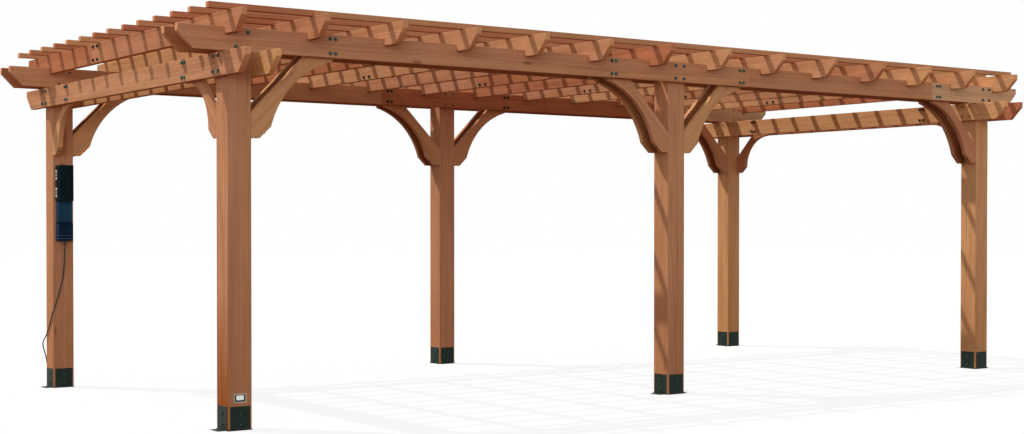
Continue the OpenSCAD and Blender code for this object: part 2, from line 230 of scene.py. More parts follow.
def makeFloor():
    # pale floor: shown rays see it nearly white with a faint shadow, the rest see it brown
    material = bpy.data.materials.new("floorPaint")
    material.use_nodes = True
    tree = material.node_tree
    tree.nodes.clear()
    pale = addNode(tree, "BsdfDiffuse", {"Color": linearColour(view["floorColour"])})
    glow = addNode(tree, "Emission", {"Color": (1, 1, 1, 1), "Strength": 1.0})
    shown = addNode(tree, "MixShader", {0: view["shadowShare"], 1: glow, 2: pale})
    brown = addNode(tree, "BsdfDiffuse", {"Color": linearColour(view["floorBounce"])})
    mixed = addNode(tree, "MixShader", {0: shownRays(tree), 1: brown, 2: shown})
    addNode(tree, "OutputMaterial", {"Surface": mixed})
    half = view["floorSize"] / 2
    mesh = bpy.data.meshes.new("floor")
    mesh.from_pydata([(-half, -half, 0), (half, -half, 0), (half, half, 0), (-half, half, 0)],
                     [], [(0, 1, 2, 3)])
    mesh.materials.append(material)
    floor = bpy.data.objects.new("floor", mesh)
    bpy.context.scene.collection.objects.link(floor)


makeCamera()
makeLights()
makeFloor()
bpy.context.scene.view_settings.view_transform = "Standard"
print("camera, lights and floor made")


# The cord: strain relief, cord with its coil, ties and plug

cordSizes = {
    "diameter": 0.008, "sides": 16,
    "coilMiddle": (0.060, 0.158), "coilInner": 0.036, "pitch": 0.0081, "turns": 2.25,
    "ground": 0.0049, "drop": 0.0084, "dropAngle": 100.0, "tail": 0.048,
    "tieAngles": (215.0, 35.0), "tieWidth": 0.011, "tieThickness": 0.0008,
    "tieRoom": (0.0008, 0.0001), "tieCorner": 0.0036,
    "sleeve": {"wall": 0.0015, "ribs": 5, "groove": 0.0009},
    "relief": {"length": 0.022, "wall": 0.002, "step": 0.004, "ribs": 4, "groove": 0.001},
    "plug": (0.028, 0.036, 0.026), "plugEase": 0.004, "plugCorner": 0.005,
    "waist": {"depth": 0.0022, "place": 0.42, "spread": 0.2},
    "contactSink": 0.0005, "blade": (0.0063, 0.0015, 0.0175), "bladeCorner": 0.0004,
    "bladeEase": 0.0006, "bladePlace": (0.00635, -0.00535), "pinPlace": 0.00655,
    "pin": ((0, 0.0024), (0.018, 0.0024), (0.0195, 0.0019), (0.0204, 0.0009)),
}
cordRoute = np.array([
    (0, -95, 972), (0, -94, 930), (1, -86, 875), (1, -77, 810), (-8, -75, 735),
    (-28, -75, 660), (-50, -75, 590), (-68, -76, 535), (-75, -62, 503), (-76, -25, 447),
    (-76, 15, 400), (-77, 50, 357), (-83, 84, 320), (-84, 104, 288), (-72, 118, 250),
    (-58, 122, 205), (-49, 122, 155), (-44, 122, 110), (-37, 122, 68), (-20, 122, 34),
    (8, 122, 17.3), (35, 122, 13.4), (60, 122, 13.3)]) / 1000


def smoothStep(t):
    return t * t * (3 - 2 * t)


def curveThrough(points, steps):
    # Catmull-Rom: each span is the cubic through its two points, aimed by their neighbours
    ends = np.vstack([2 * points[0] - points[1], points, 2 * points[-1] - points[-2]])
    a, b, c, d = (ends[k:k + len(points) - 1, None] for k in range(4))
    t = (np.arange(steps) / steps)[None, :, None]
    spans = 0.5 * (2 * b + (c - a) * t + (2 * a - 5 * b + 4 * c - d) * t ** 2
                   + (3 * b - a - 3 * c + d) * t ** 3)
    return np.vstack([spans.reshape(-1, 3), points[-1:]])


def cordPath():
    # the route down the post, then a spiral: radius grows by one pitch a turn, and the
    # height falls from the top of the turns by a smooth step; then a straight tail
    c = cordSizes
    middle = np.array([*c["coilMiddle"], 0])
    angle = np.radians(np.arange(5, 360 * c["turns"] + 1, 5))
    radius = c["coilInner"] + c["pitch"] * angle / (2 * math.pi)
    fall = smoothStep(np.minimum(1, np.degrees(angle) / c["dropAngle"]))
    coil = middle + np.stack([radius * np.sin(angle), -radius * np.cos(angle),
                              c["ground"] + c["drop"] * (1 - fall)], -1)
    t = np.linspace(0, 1, 9)[1:, None]
    rise = c["plug"][2] / 2 - c["ground"]
    tail = coil[-1] + t * np.array([0, c["tail"], 0]) + smoothStep(t) * np.array([0, 0, rise])
    return np.vstack([curveThrough(cordRoute, 6), coil, tail])


def carriedSides(path):
    # a side and an up, square to the path, that turn as little as they can along it
    along = np.gradient(path, axis=0)
    along /= np.linalg.norm(along, axis=1)[:, None]
    side = np.cross(along[0], (0.3, 0.2, 1.0))
    sides = []
    for direction in along:
        side = side - np.dot(side, direction) * direction
        side = side / np.linalg.norm(side)
        sides.append(side)
    sides = np.array(sides)
    return sides, np.cross(along, sides)


def tubeShell(path, radius, sides):
    # ring(p, n) = path(p) + radius(p) * (cos a * side + sin a * up)
    side, up = carriedSides(path)
    a = np.linspace(0, 2 * math.pi, sides, endpoint=False)
    reach = np.broadcast_to(np.asarray(radius, float), len(path))[:, None, None]
    rings = path[:, None] + reach * (np.cos(a)[None, :, None] * side[:, None]
                                     + np.sin(a)[None, :, None] * up[:, None])
    shell = loftShell(rings)
    length = np.concatenate([[0], np.cumsum(np.linalg.norm(np.diff(path, axis=0), axis=1))])
    run, round_ = np.meshgrid(length, a, indexing="ij")
    shell["place"] = np.stack([run, round_, 0 * run], -1).reshape(-1, 3)
    return shell


def turnedShell(profile, base, axis, sides=32):
    # profile is (distance along the axis, radius): ring(p, n) = base + d * axis + r * round
    axis = np.asarray(axis, float)
    side = np.cross(axis, zAxis if abs(axis[2]) < 0.9 else xAxis)
    side /= np.linalg.norm(side)
    up = np.cross(axis, side)
    a = np.linspace(0, 2 * math.pi, sides, endpoint=False)
    d, r = np.array(profile, float).T
    rings = (np.asarray(base, float) + d[:, None, None] * axis
             + r[:, None, None] * (np.cos(a)[None, :, None] * side
                                   + np.sin(a)[None, :, None] * up))
    return loftShell(rings)


def roundedOutline(width, height, radius, steps=5):
    # rectangle with quarter-circle corners, anticlockwise, centred
    a = np.radians(np.linspace(0, 90, steps + 1))
    corners = []
    for turn, (sx, sy) in enumerate(((1, 1), (-1, 1), (-1, -1), (1, -1))):
        b = a + math.radians(90 * turn)
        corners.append(np.stack([sx * (width / 2 - radius) + radius * np.cos(b),
                                 sy * (height / 2 - radius) + radius * np.sin(b)], -1))
    return np.vstack(corners)


def stackedShell(size, radius, steps, origin, along, across, least=0.0004, corner=5,
                 wrap=False):
    # rounded rectangles stacked outwards: each step is (inset, height above the origin).
    # least is the smallest corner radius, and corner the steps round one.
    along, across = np.asarray(along, float), np.asarray(across, float)
    out = np.cross(along, across)
    rings = []
    for inset, height in steps:
        flat = roundedOutline(size[0] - 2 * inset, size[1] - 2 * inset,
                              max(radius - inset, least), corner)
        rings.append(origin + flat[:, :1] * along + flat[:, 1:] * across + height * out)
    return loftShell(np.array(rings), wrap)


def easedSteps(depth, ease, count=4):
    # (inset, height) for a block whose two ends are rounded by a quarter circle
    a = np.radians(np.linspace(0, 90, count + 1))
    low = np.stack([ease * (1 - np.sin(a)), ease * (1 - np.cos(a))], -1)
    high = np.stack([low[::-1, 0], depth - low[::-1, 1]], -1)
    return np.vstack([low, high]).tolist()


# Flexible PVC jacket, extruded: near black with a soft sheen, a fine draw texture along it
def pvcJacket():
    material, tree, shader = newMaterial("pvcCordJacket", {"Roughness": 0.46, "IOR": 1.52,
                                                           "Specular IOR Level": 0.4})
    place = addNode(tree, "Attribute", attribute_name="place").outputs["Vector"]
    # run in metres, angle in radians: streaks 20 mm long and 0.5 mm wide
    drawn = addNode(tree, "VectorMath", {0: place, 1: (50, 8, 1)}, operation="MULTIPLY")
    streaks = addNode(tree, "TexNoise", {"Vector": drawn, "Scale": 1.0, "Detail": 3.0})
    tint = addNode(tree, "ValToRGB", {"Fac": streaks}, ramp=[(0.3, "#08090b"), (0.75, "#101216")])
    bump = addNode(tree, "Bump", {"Height": streaks, "Strength": 0.25, "Distance": 0.0002})
    setInputs(tree, shader, {"Base Color": tint, "Normal": bump})
    return material


# Moulded PVC of the plug and strain reliefs: black, fine spark-eroded grain about 0.3 mm
def mouldedRubber():
    material, tree, shader = newMaterial("mouldedPvc", {"Roughness": 0.55, "IOR": 1.52,
                                                        "Specular IOR Level": 0.4})
    where = addNode(tree, "TexCoord").outputs["Object"]
    grain = addNode(tree, "TexNoise", {"Vector": where, "Scale": 1800.0, "Detail": 2.0})
    tint = addNode(tree, "ValToRGB", {"Fac": grain}, ramp=[(0.3, "#14171a"), (0.8, "#20242a")])
    bump = addNode(tree, "Bump", {"Height": grain, "Strength": 0.3, "Distance": 0.0002})
    setInputs(tree, shader, {"Base Color": tint, "Normal": bump})
    return material


# Nickel-plated brass of the plug's blades, drawn and tumbled
def nickelPlate():
    material, tree, shader = newMaterial("nickelPlatedBrass", {"Metallic": 1.0,
                                                               "Roughness": 0.28})
    where = addNode(tree, "TexCoord").outputs["Object"]
    haze = addNode(tree, "TexNoise", {"Vector": where, "Scale": 400.0, "Detail": 3.0})
    tint = addNode(tree, "ValToRGB", {"Fac": haze}, ramp=[(0.3, "#b9b3a4"), (0.8, "#d2cdc0")])
    rough = addNode(tree, "MapRange", {0: haze, 3: 0.2, 4: 0.4})
    setInputs(tree, shader, {"Base Color": tint, "Roughness": rough})
    return material


def ribbedProfile(length, start, end, ribs, depth):
    # tapered sleeve: radius runs from start to end, less a groove between every two ribs
    t = np.linspace(0, 1, 8 * ribs + 1)
    radius = start + (end - start) * t
    groove = np.clip(-np.cos(2 * math.pi * ribs * t), -1, 0)
    radius = radius + depth * groove * (t > 0.04) * (t < 0.96)
    return np.stack([t * length, radius], -1)


def tieShells(coil):
    # two ties round the turns of the coil: a flat band carried round their cross-section
    c = cordSizes
    radius, thick, half = c["diameter"] / 2, c["tieThickness"], c["tieWidth"] / 2
    inner, outer = c["coilInner"] - radius, c["coilInner"] + c["pitch"] * c["turns"] + radius
    size = outer - inner + c["tieRoom"][0], c["diameter"] + c["tieRoom"][1]
    band = [(0, half), (-thick, half), (-thick, -half), (0, -half)]
    shells = []
    for angle in np.radians(c["tieAngles"]):
        out = np.array([math.sin(angle), -math.cos(angle), 0])
        centre = coil + out * (inner + outer) / 2 + np.array([0, 0, c["ground"]])
        shells.append(stackedShell(size, c["tieCorner"], band, centre, out, zAxis,
                                   corner=6, wrap=True))
    return shells


def plugShells(start):
    # a ribbed relief, then a body whose ends are eased by a quarter circle and whose sides
    # are hollow for the fingers by a bell curve
    c, r, w = cordSizes, cordSizes["relief"], cordSizes["waist"]
    width, depth, height = c["plug"]
    relief = turnedShell(ribbedProfile(r["length"], c["diameter"] / 2 + r["wall"],
                                       height / 2 - r["step"], r["ribs"], r["groove"]),
                         start, yAxis)
    t = np.linspace(0, 1, 25)
    ease = c["plugEase"]
    ends = np.minimum(np.minimum(t, 1 - t) * depth, ease)
    inset = ease - np.sqrt(np.maximum(ease ** 2 - (ease - ends) ** 2, 0))
    waist = w["depth"] * np.exp(-((t - w["place"]) / w["spread"]) ** 2)
    rings = []
    for k in range(len(t)):
        flat = roundedOutline(width - 2 * inset[k] - 2 * waist[k], height - 2 * inset[k],
                              max(c["plugCorner"] - inset[k], 0.001))
        rings.append(start + np.array([0, r["length"] + depth * t[k], 0])
                     + flat[:, :1] * xAxis + flat[:, 1:] * zAxis)
    return [relief, loftShell(np.array(rings))]


def contactShells(face):
    # two flat blades and a round earth pin
    c = cordSizes
    *size, length = c["blade"]
    aside, down = c["bladePlace"]
    steps = easedSteps(length, c["bladeEase"], 2)
    shells = [stackedShell(size, c["bladeCorner"], steps,
                           face + np.array([side * aside, 0, down]), zAxis, xAxis)
              for side in (-1, 1)]
    return shells + [turnedShell(c["pin"], face + np.array([0, 0, c["pinPlace"]]), yAxis, 20)]


def makeCord():
    c = cordSizes
    jacket, moulded = pvcJacket(), mouldedRubber()
    corner = middleOf("post_back_left") * (1, 1, 0)
    path = cordPath() + corner
    radius = c["diameter"] / 2
    cord = makePiece("powerCord", [tubeShell(path, radius, c["sides"])], jacket,
                     ("power_cord", "cord_coil"))

    # tapered strain relief under the junction box, narrowest where the cord leaves it
    low, high = boxOf("cord_gland")
    middle, size, r = (low + high) / 2, high - low, c["sleeve"]
    sleeve = turnedShell(ribbedProfile(size[2], radius + r["wall"], size[0] / 2, r["ribs"],
                                       r["groove"]), (middle[0], middle[1], low[2]), zAxis)
    makePiece("cordStrainRelief", [sleeve], moulded, ("cord_gland",))

    coil = corner + np.array([*c["coilMiddle"], 0])
    tie = makePiece("cordTies", tieShells(coil), moulded)
    start = coil + np.array([c["coilInner"] + c["pitch"] * c["turns"], c["tail"],
                             c["plug"][2] / 2])
    plug = makePiece("cordPlug", plugShells(start), moulded, ("cord_plug",))
    reach = c["relief"]["length"] + c["plug"][1] - c["contactSink"]
    blades = makePiece("cordPlugContacts", contactShells(start + reach * yAxis),
                       nickelPlate())


makeCord()

# Boards: posts, beams, braces, rafters and battens

boardSizes = {
    "ease": 0.0025, "postEase": 0.002, "steps": 4, "corner": 1.6, "lapStep": 0.0001,
    "tailUpright": 0.040, "notchWidth": 0.213, "notchDepth": 0.041, "jointGap": 0.0006,
    "braceFoot": {"long": (0.052, 0.069, 0.066, 0.532, 0.0),
                  "end": (0.045, 0.060, 0.052, 0.270, 0.006)},
    "braceContact": 0.136, "braceHeadReach": 0.173, "braceCurveReach": 0.115,
    "braceHeadGap": 0.005, "braceThickness": 0.035, "braceLeast": 0.1, "boltLine": 0.5539,
    # the shade figures are painted shade: multipliers that darken the faces between paired beams,
    # between paired brace boards, and the undersides
    "beamLap": 0.070, "pairGapPaintedShade": (0.62, 0.50, 0.42), "braceGapPaintedShade": (0.50, 0.38, 0.30),
    "undersidePaintedShade": (0.78, 0.62, 0.45),
}


def roundedCorners(outline, radius):
    # each convex corner that turns more than 20 degrees becomes three points on an arc
    points = []
    before, after = np.roll(outline, 1, 0), np.roll(outline, -1, 0)
    for a, p, b in zip(before, outline, after):
        into, out = (p - a) / np.linalg.norm(p - a), (b - p) / np.linalg.norm(b - p)
        turn = math.atan2(into[0] * out[1] - into[1] * out[0], into @ out)
        if turn < math.radians(20):
            points.append(p)
            continue
        reach = radius * math.tan(turn / 2)
        bisector = (out - into) / np.linalg.norm(out - into)
        middle = p + bisector * radius * (1 / math.cos(turn / 2) - 1)
        points += [p - into * reach, middle, p + out * reach]
    return np.array(points)


def movedIn(outline, distance):
    # every point moves inwards by the distance, measured square to both of its edges
    edges = np.roll(outline, -1, 0) - outline
    edges /= np.linalg.norm(edges, axis=1)[:, None]
    normals = np.stack([-edges[:, 1], edges[:, 0]], -1)
    back = np.roll(normals, 1, 0)
    mitre = (normals + back) / (1 + (normals * back).sum(1))[:, None]
    return outline + mitre * distance


def boardShell(outline, thickness, grain, tone, origin, along, across, ease=None, far=None):
    # a board: its outline in the plane of along and across, its thickness square to it, and
    # a quarter-circle eased edge carried round the outline on both faces. A half-lapped end
    # has a second outline, far, for the half of the thickness beyond the middle.
    # place holds distance along the grain, across it and through the board, from the heart
    ease = ease or boardSizes["ease"]
    along, across = np.asarray(along, float), np.asarray(across, float)
    through = np.cross(along, across)
    steps = np.array(easedSteps(thickness, ease, boardSizes["steps"]))
    half = len(steps) // 2
    lap = boardSizes["lapStep"] / 2 * np.array([[0, -1], [0, 1]]) + [0, thickness / 2]
    if far is not None:
        steps = np.vstack([steps[:half], lap, steps[half:]])
        half += 1
    outlines = []
    for flat in (outline, outline if far is None else far):
        x, y = np.array(flat, float).T
        turn = 1 if (x * np.roll(y, -1) - y * np.roll(x, -1)).sum() > 0 else -1
        outlines.append(roundedCorners(np.stack([x, y], -1)[::turn],
                                       boardSizes["corner"] * ease))
    flats = np.array([movedIn(outlines[k >= half], step[0]) for k, step in enumerate(steps)])
    outline = outlines[0]
    depths = steps[:, 1] - thickness / 2
    rings = (np.asarray(origin, float) + flats[..., :1] * along + flats[..., 1:] * across
             + depths[:, None, None] * through)
    shell = loftShell(rings)

    # straight stretches of the edge are flat; cuts across the grain are marked, save those
    # shut in a lap
    edges = np.roll(outline, -1, 0) - outline
    edges /= np.linalg.norm(edges, axis=1)[:, None]
    grain = np.asarray(grain, float) / np.linalg.norm(grain)
    bends = (edges * np.roll(edges, 1, 0)).sum(1)
    gentle = (bends > math.cos(math.radians(20))) & (bends < 1 - 1e-7)
    curved = gentle & np.roll(gentle, -1)
    rows = len(steps) - 1
    flatRow = (steps[1:, 0] == 0) & (steps[:-1, 0] == 0)
    shell["smooth"] = (~flatRow[:, None] | curved[None, :]).ravel()
    crossing = 1 - (edges @ grain) ** 2
    lapped = abs(outlines[0] - outlines[1]).sum(1) > 1e-6
    crossing[lapped & np.roll(lapped, -1)] = 0
    shell["cut"] = np.tile(crossing, rows)
    square = np.array([-grain[1], grain[0]])
    middle = (outline.min(0) + outline.max(0)) / 2
    flat = (flats - middle).reshape(-1, 2)
    heart = tone["heart"]
    shell["place"] = np.stack([flat @ grain + heart[0], flat @ square + heart[1],
                               np.repeat(depths, len(outline)) + heart[2]], -1)
    shell["tone"] = tone["body"]
    return shell


# oiled cedar as it comes from the yard, palest first
cedarTones = {"pale": "#dcb896", "honey": "#daaa7c", "tan": "#cc9876", "russet": "#be7c5c"}


def boardTone(name=None):
    # a board's colour is a named one, or lies by chance between honey and russet; its place
    # in the log is by chance. A named board draws a colour too, so that naming one leaves
    # the boards after it as they are.
    ladder = [np.array(linearColour(text)[:3]) for text in cedarTones.values()]
    place = tints.uniform(1, len(ladder) - 1)
    if name:
        place = list(cedarTones).index(name)
    k = min(int(place), len(ladder) - 2)
    return {"body": ladder[k] + (place - k) * (ladder[k + 1] - ladder[k]),
            "heart": (float(draws.uniform(0, 90)),
                      float(draws.choice((-1, 1)) * draws.uniform(0.015, 0.09)),
                      float(draws.choice((-1, 1)) * draws.uniform(0.03, 0.12)))}


def tintFace(shell, axis, sign, face, ease, tone):
    # the face that lies at this place along an axis takes another colour, which runs into
    # the board's own over the eased edge
    share = np.clip((sign * (shell["points"][:, axis] - face) + ease) / ease, 0, 1)[:, None]
    shell["tone"] = shell["tone"] + share * (np.asarray(tone) - shell["tone"])


def paintUndersideShade(shell, bottom):
    # painted shade: a board's underside is darkened, in place of the dim light that reaches it
    # from below
    tintFace(shell, 2, -1, bottom, boardSizes["ease"], shell["tone"] * boardSizes["undersidePaintedShade"])
    return shell


def tailedOutline(low, high, depth, cutLow=True, cutHigh=True, notches=()):
    # a board on edge from low to high: slanting cuts under its tails, notches in its underside
    up = boardSizes["tailUpright"]
    cut = depth - up
    points = [(low + cut, 0)] if cutLow else [(low, 0)]
    for middle in notches:
        half, deep = boardSizes["notchWidth"] / 2, boardSizes["notchDepth"]
        points += [(middle - half, 0), (middle - half, deep),
                   (middle + half, deep), (middle + half, 0)]
    points += [(high - cut, 0), (high, cut)] if cutHigh else [(high, 0)]
    points += [(high, depth), (low, depth)]
    points += [(low, cut)] if cutLow else []
    return points


def cedar(name, footDepth=0.0, sawn=1.6):
    # Cedar boards, planed smooth and brushed with a semi-transparent oil stain: the pores
    # stay open, so the sheen is low, and summer wood shows as darker lines in the grain.
    # Each board's own colour comes with it; footDepth is how much darker a foot grows
    # towards the ground, and sawn how fast a cut turns pale
    # as it leaves the grain.
    material, tree, shader = newMaterial(name, {"IOR": 1.48, "Specular IOR Level": 0.03})
    place = addNode(tree, "Attribute", attribute_name="place").outputs["Vector"]
    body = addNode(tree, "Attribute", attribute_name="tone").outputs["Vector"]
    cut = addNode(tree, "Attribute", attribute_name="cut").outputs["Fac"]

    # growth rings round the heart of the log, wandering by 14 mm over about 1.5 m
    slow = addNode(tree, "VectorMath", {0: place, 1: (0.35, 3.0, 3.0)}, operation="MULTIPLY")
    wander = addNode(tree, "TexNoise", {"Vector": slow, "Scale": 2.0, "Detail": 2.0})
    shift = addNode(tree, "VectorMath", {0: wander.outputs["Color"], 1: (0.0, 0.028, 0.028)},
                    operation="MULTIPLY")
    squeezed = addNode(tree, "VectorMath", {0: place, 1: (0.004, 1.0, 1.0)}, operation="MULTIPLY")
    ringPlace = addNode(tree, "VectorMath", {0: squeezed, 1: shift}, operation="ADD")
    # real rings are 2 to 4 mm wide; 7 mm here, so that they show at this distance. A wave
    # of scale 1 is 0.314 m long.
    rings = addNode(tree, "TexWave", {"Vector": ringPlace, "Scale": 0.314 / 0.007,
                                      "Distortion": 0.6, "Detail": 2.0, "Detail Scale": 0.6},
                    wave_type="RINGS", rings_direction="X", wave_profile="SIN")
    lines = addNode(tree, "MapRange", {0: rings.outputs["Fac"], 1: 0.55, 2: 1.0})

    # bands 40 to 80 mm wide, streaks 15 to 40 mm wide and fibres about 3 mm wide, all
    # drawn out along the board
    broad = addNode(tree, "VectorMath", {0: place, 1: (0.25, 15.0, 15.0)}, operation="MULTIPLY")
    bands = addNode(tree, "TexNoise", {"Vector": broad, "Scale": 1.0, "Detail": 1.0})
    long = addNode(tree, "VectorMath", {0: place, 1: (0.9, 34.0, 34.0)}, operation="MULTIPLY")
    streaks = addNode(tree, "TexNoise", {"Vector": long, "Scale": 1.0, "Detail": 3.0,
                                         "Roughness": 0.55})
    fine = addNode(tree, "VectorMath", {0: place, 1: (7.0, 320.0, 320.0)}, operation="MULTIPLY")
    fibres = addNode(tree, "TexNoise", {"Vector": fine, "Scale": 1.0, "Detail": 3.0})
    patches = addNode(tree, "TexNoise", {"Vector": slow, "Scale": 7.0, "Detail": 2.0})

    # each layer is a share of a multiplier of the board's colour
    golden = addNode(tree, "MapRange", {0: bands, 1: 0.45, 2: 0.65, 3: 0.0, 4: 1.0})
    dark = addNode(tree, "MapRange", {0: streaks, 1: 0.42, 2: 0.74, 3: 0.0, 4: 0.5})
    summer = addNode(tree, "Math", {0: lines, 1: 0.4}, operation="MULTIPLY")
    ends = addNode(tree, "Math", {0: cut, 1: sawn}, operation="MULTIPLY", use_clamp=True)
    # knots about 20 mm across, one to a metre or two of board
    branch = addNode(tree, "VectorMath", {0: place, 1: (1.5, 5.0, 1.2)}, operation="MULTIPLY")
    cells = addNode(tree, "TexVoronoi", {"Vector": branch, "Scale": 1.0, "Randomness": 1.0})
    knot = addNode(tree, "MapRange", {0: cells.outputs["Distance"], 1: 0.035, 2: 0.070, 3: 0.6,
                                      4: 0.0})
    layers = [(golden, (1.0, 1.0, 0.92)), (dark, (0.72, 0.62, 0.54)),
              (summer, (0.74, 0.62, 0.52)), (ends, (1.28, 1.28, 1.24)),
              (knot, (0.36, 0.26, 0.20))]
    if footDepth:
        where = addNode(tree, "TexCoord").outputs["Object"]
        height = addNode(tree, "SeparateXYZ", {0: where})
        foot = addNode(tree, "MapRange", {0: height.outputs[2], 1: 0.1, 2: 1.1, 3: footDepth,
                                          4: 0.0}, interpolation_type="SMOOTHSTEP")
        # the outside of a foot may have soaked up more, up to knee height
        knee = addNode(tree, "MapRange", {0: height.outputs[2], 1: 0.0, 2: 0.75, 3: 1.0, 4: 0.0})
        soaked = addNode(tree, "Math", {0: knee, 1: cut}, operation="MULTIPLY")
        layers += [(foot, (0.78, 0.66, 0.56)), (soaked, (0.56, 0.30, 0.05))]
    colour = body
    for share, tint in layers:
        colour = addNode(tree, "MixRGB", {0: share, 1: colour, 2: (*tint, 1.0)},
                         blend_type="MULTIPLY")
    patch = addNode(tree, "MapRange", {0: patches, 1: 0.3, 2: 0.7, 3: 0.93, 4: 1.08})
    fibre = addNode(tree, "MapRange", {0: fibres, 1: 0.3, 2: 0.7, 3: 0.92, 4: 1.08})
    light = addNode(tree, "Math", {0: patch, 1: fibre}, operation="MULTIPLY")
    lit = addNode(tree, "VectorMath", {0: colour, 3: light}, operation="SCALE")
    rough = addNode(tree, "MapRange", {0: streaks, 1: 0.3, 2: 0.7, 3: 0.70, 4: 0.85})
    relief = addNode(tree, "Math", {0: fibres, 1: lines}, operation="ADD")
    bump = addNode(tree, "Bump", {"Height": relief, "Strength": 0.5, "Distance": 0.0004})
    setInputs(tree, shader, {"Base Color": lit, "Roughness": rough, "Normal": bump})
    return material


wood = {"posts": cedar("cedarPostOiled", footDepth=0.5, sawn=0.0),
        "beams": cedar("cedarBeamOiled"), "braces": cedar("cedarBraceOiled", sawn=0.3),
        "rafters": cedar("cedarRafterOiled"), "battens": cedar("cedarBattenOiled")}
print("cedar mixed")


def pieceName(node):
    # front_wall becomes frontWall
    first, *rest = node.split("_")
    return first + "".join(word.capitalize() for word in rest)


# each post's tone; the near one's foot has soaked up stain on its outside
postTones = {
    "post_front_left": "tan", "post_front_middle": "tan", "post_front_right": "honey",
    "post_back_left": "tan", "post_back_middle": "tan", "post_back_right": "honey",
}
soakedPost = "post_front_left"


def makePosts():
    ease = boardSizes["postEase"]
    for node, name in postTones.items():
        low, high = boxOf(node)
        middle = (low + high) / 2
        half = (high - low) / 2
        outline = [(-half[0], -half[2]), (half[0], -half[2]), (half[0], half[2]),
                   (-half[0], half[2])]
        shell = boardShell(outline, 2 * half[1], (0, 1), boardTone(name), middle,
                           xAxis, zAxis, ease)
        # a post's ends don't show, so its cut marks only the side that soaked up stain
        outside = shell["points"][shell["quads"]].mean(1)[:, 0] < low[0] + ease / 2
        shell["cut"] = outside * float(node == soakedPost)
        makePiece(pieceName(node), [shell], wood["posts"], (node,))


# where each long beam is jointed: a post's place in its row, and the side of it where the
# brace bolts are
beamJoints = {
    "long_beam_front_outer": ((0, 1), (1, -1)),
    "long_beam_front_inner": ((0, -1),),
    "long_beam_back_inner": ((0, -1), (1, -1)),
    "long_beam_back_outer": ((0, 1),),
}
beamTones = {
    "long_beam_front_outer": ("tan", "tan", "pale"),
    "long_beam_front_inner": ("tan", "tan"),
    "long_beam_back_inner": ("tan", "russet", "pale"),
    "long_beam_back_outer": ("tan", "russet"),
    "end_beam_left_outer": ("tan",),
    "end_beam_left_inner": ("honey",),
    "end_beam_right_inner": ("honey",),
    "end_beam_right_outer": ("russet",),
}


def makeBeams():
    gap = boardSizes["jointGap"] / 2
    bay = middleOf("post_front_right")[0]
    for node, tones in beamTones.items():
        low, high = boxOf(node)
        middle, depth = (low + high) / 2, high[2] - low[2]
        axis = 0 if node.startswith("long") else 1
        thickness = (high - low)[1 - axis]
        origin = middle * (1, 1, 0) + (0, 0, low[2])
        origin[axis] = 0
        joints = sorted((post * bay + side * boardSizes["boltLine"], side)
                        for post, side in beamJoints.get(node, ()))
        # the way from a long beam to the other board of its pair
        inside = (1 if middle[1] > 0 else -1) * (-1 if node.endswith("outer") else 1)
        shells = []
        for k, name in enumerate(tones):
            first, last = k == 0, k == len(tones) - 1
            # the half at the back of a long beam, then the half at its front
            flats = []
            for reach in (-boardSizes["beamLap"], boardSizes["beamLap"]):
                seams = [place + side * reach for place, side in joints]
                start = low[axis] if first else seams[k - 1] + gap
                end = high[axis] if last else seams[k] - gap
                flats.append(tailedOutline(start, end, depth, first, last))
            shell = boardShell(flats[0], thickness, (1, 0), boardTone(name), origin,
                               (xAxis, yAxis)[axis], zAxis, far=flats[1] if joints else None)
            if axis == 0:
                # painted shade: the faces between the two boards of a pair are darkened, in place
                # of the shade that falls between them
                tintFace(shell, 1, inside, (high if inside > 0 else low)[1],
                         boardSizes["ease"], shell["tone"] * boardSizes["pairGapPaintedShade"])
            shells.append(paintUndersideShade(shell, low[2]))
        makePiece(pieceName(node), shells, wood["beams"], (node,))


# each rafter is two lengths, front and back, half-lapped behind the middle and before it
# by turns
rafterSizes = {"count": 14, "lapMiddle": 0.415, "lapReach": 0.070, "firstShift": -0.009}
rafterNodes = ["rafter_%02d" % (k + 1) for k in range(rafterSizes["count"])]


def rafterLaps():
    # each rafter's node and box, the side of the middle its half-lap is on, and its place
    s = rafterSizes
    for k, node in enumerate(rafterNodes):
        turn = 1 if k % 2 == 0 else -1
        shift = s["firstShift"] if k == 0 else 0
        yield node, *boxOf(node), turn, turn * s["lapMiddle"] + shift


def makeRafters():
    rowY = middleOf("post_back_left")[1]
    gap = boardSizes["jointGap"] / 2
    for node, low, high, _, lap in rafterLaps():
        middle, depth = (low + high) / 2, high[2] - low[2]
        # the seam on the -X face, then the one on the +X face
        seams = lap + rafterSizes["lapReach"] * np.array([1, -1])
        shells = []
        for side in (-1, 1):
            flats = []
            for seam in seams:
                ends = (low[1], seam - gap) if side < 0 else (seam + gap, high[1])
                flats.append(tailedOutline(*ends, depth, side < 0, side > 0,
                                           (side * rowY,)))
            shell = boardShell(flats[0], high[0] - low[0], (1, 0), boardTone(),
                               (middle[0], 0, low[2]), yAxis, zAxis, far=flats[1])
            shells.append(paintUndersideShade(shell, low[2]))
        makePiece(pieceName(node), shells, wood["rafters"], (node,))


battenSizes = {"rows": 14, "width": 0.036, "ease": 0.002, "screwStand": 0.0006, "shift": -0.006}


def battenLines():
    # the middles of a node's batten rows, and the node's box
    for node in ("battens_front", "battens_back"):
        low, high = boxOf(node)
        half = battenSizes["width"] / 2
        count = battenSizes["rows"] // 2
        yield node, low, high, np.linspace(low[1] + half, high[1] - half, count)


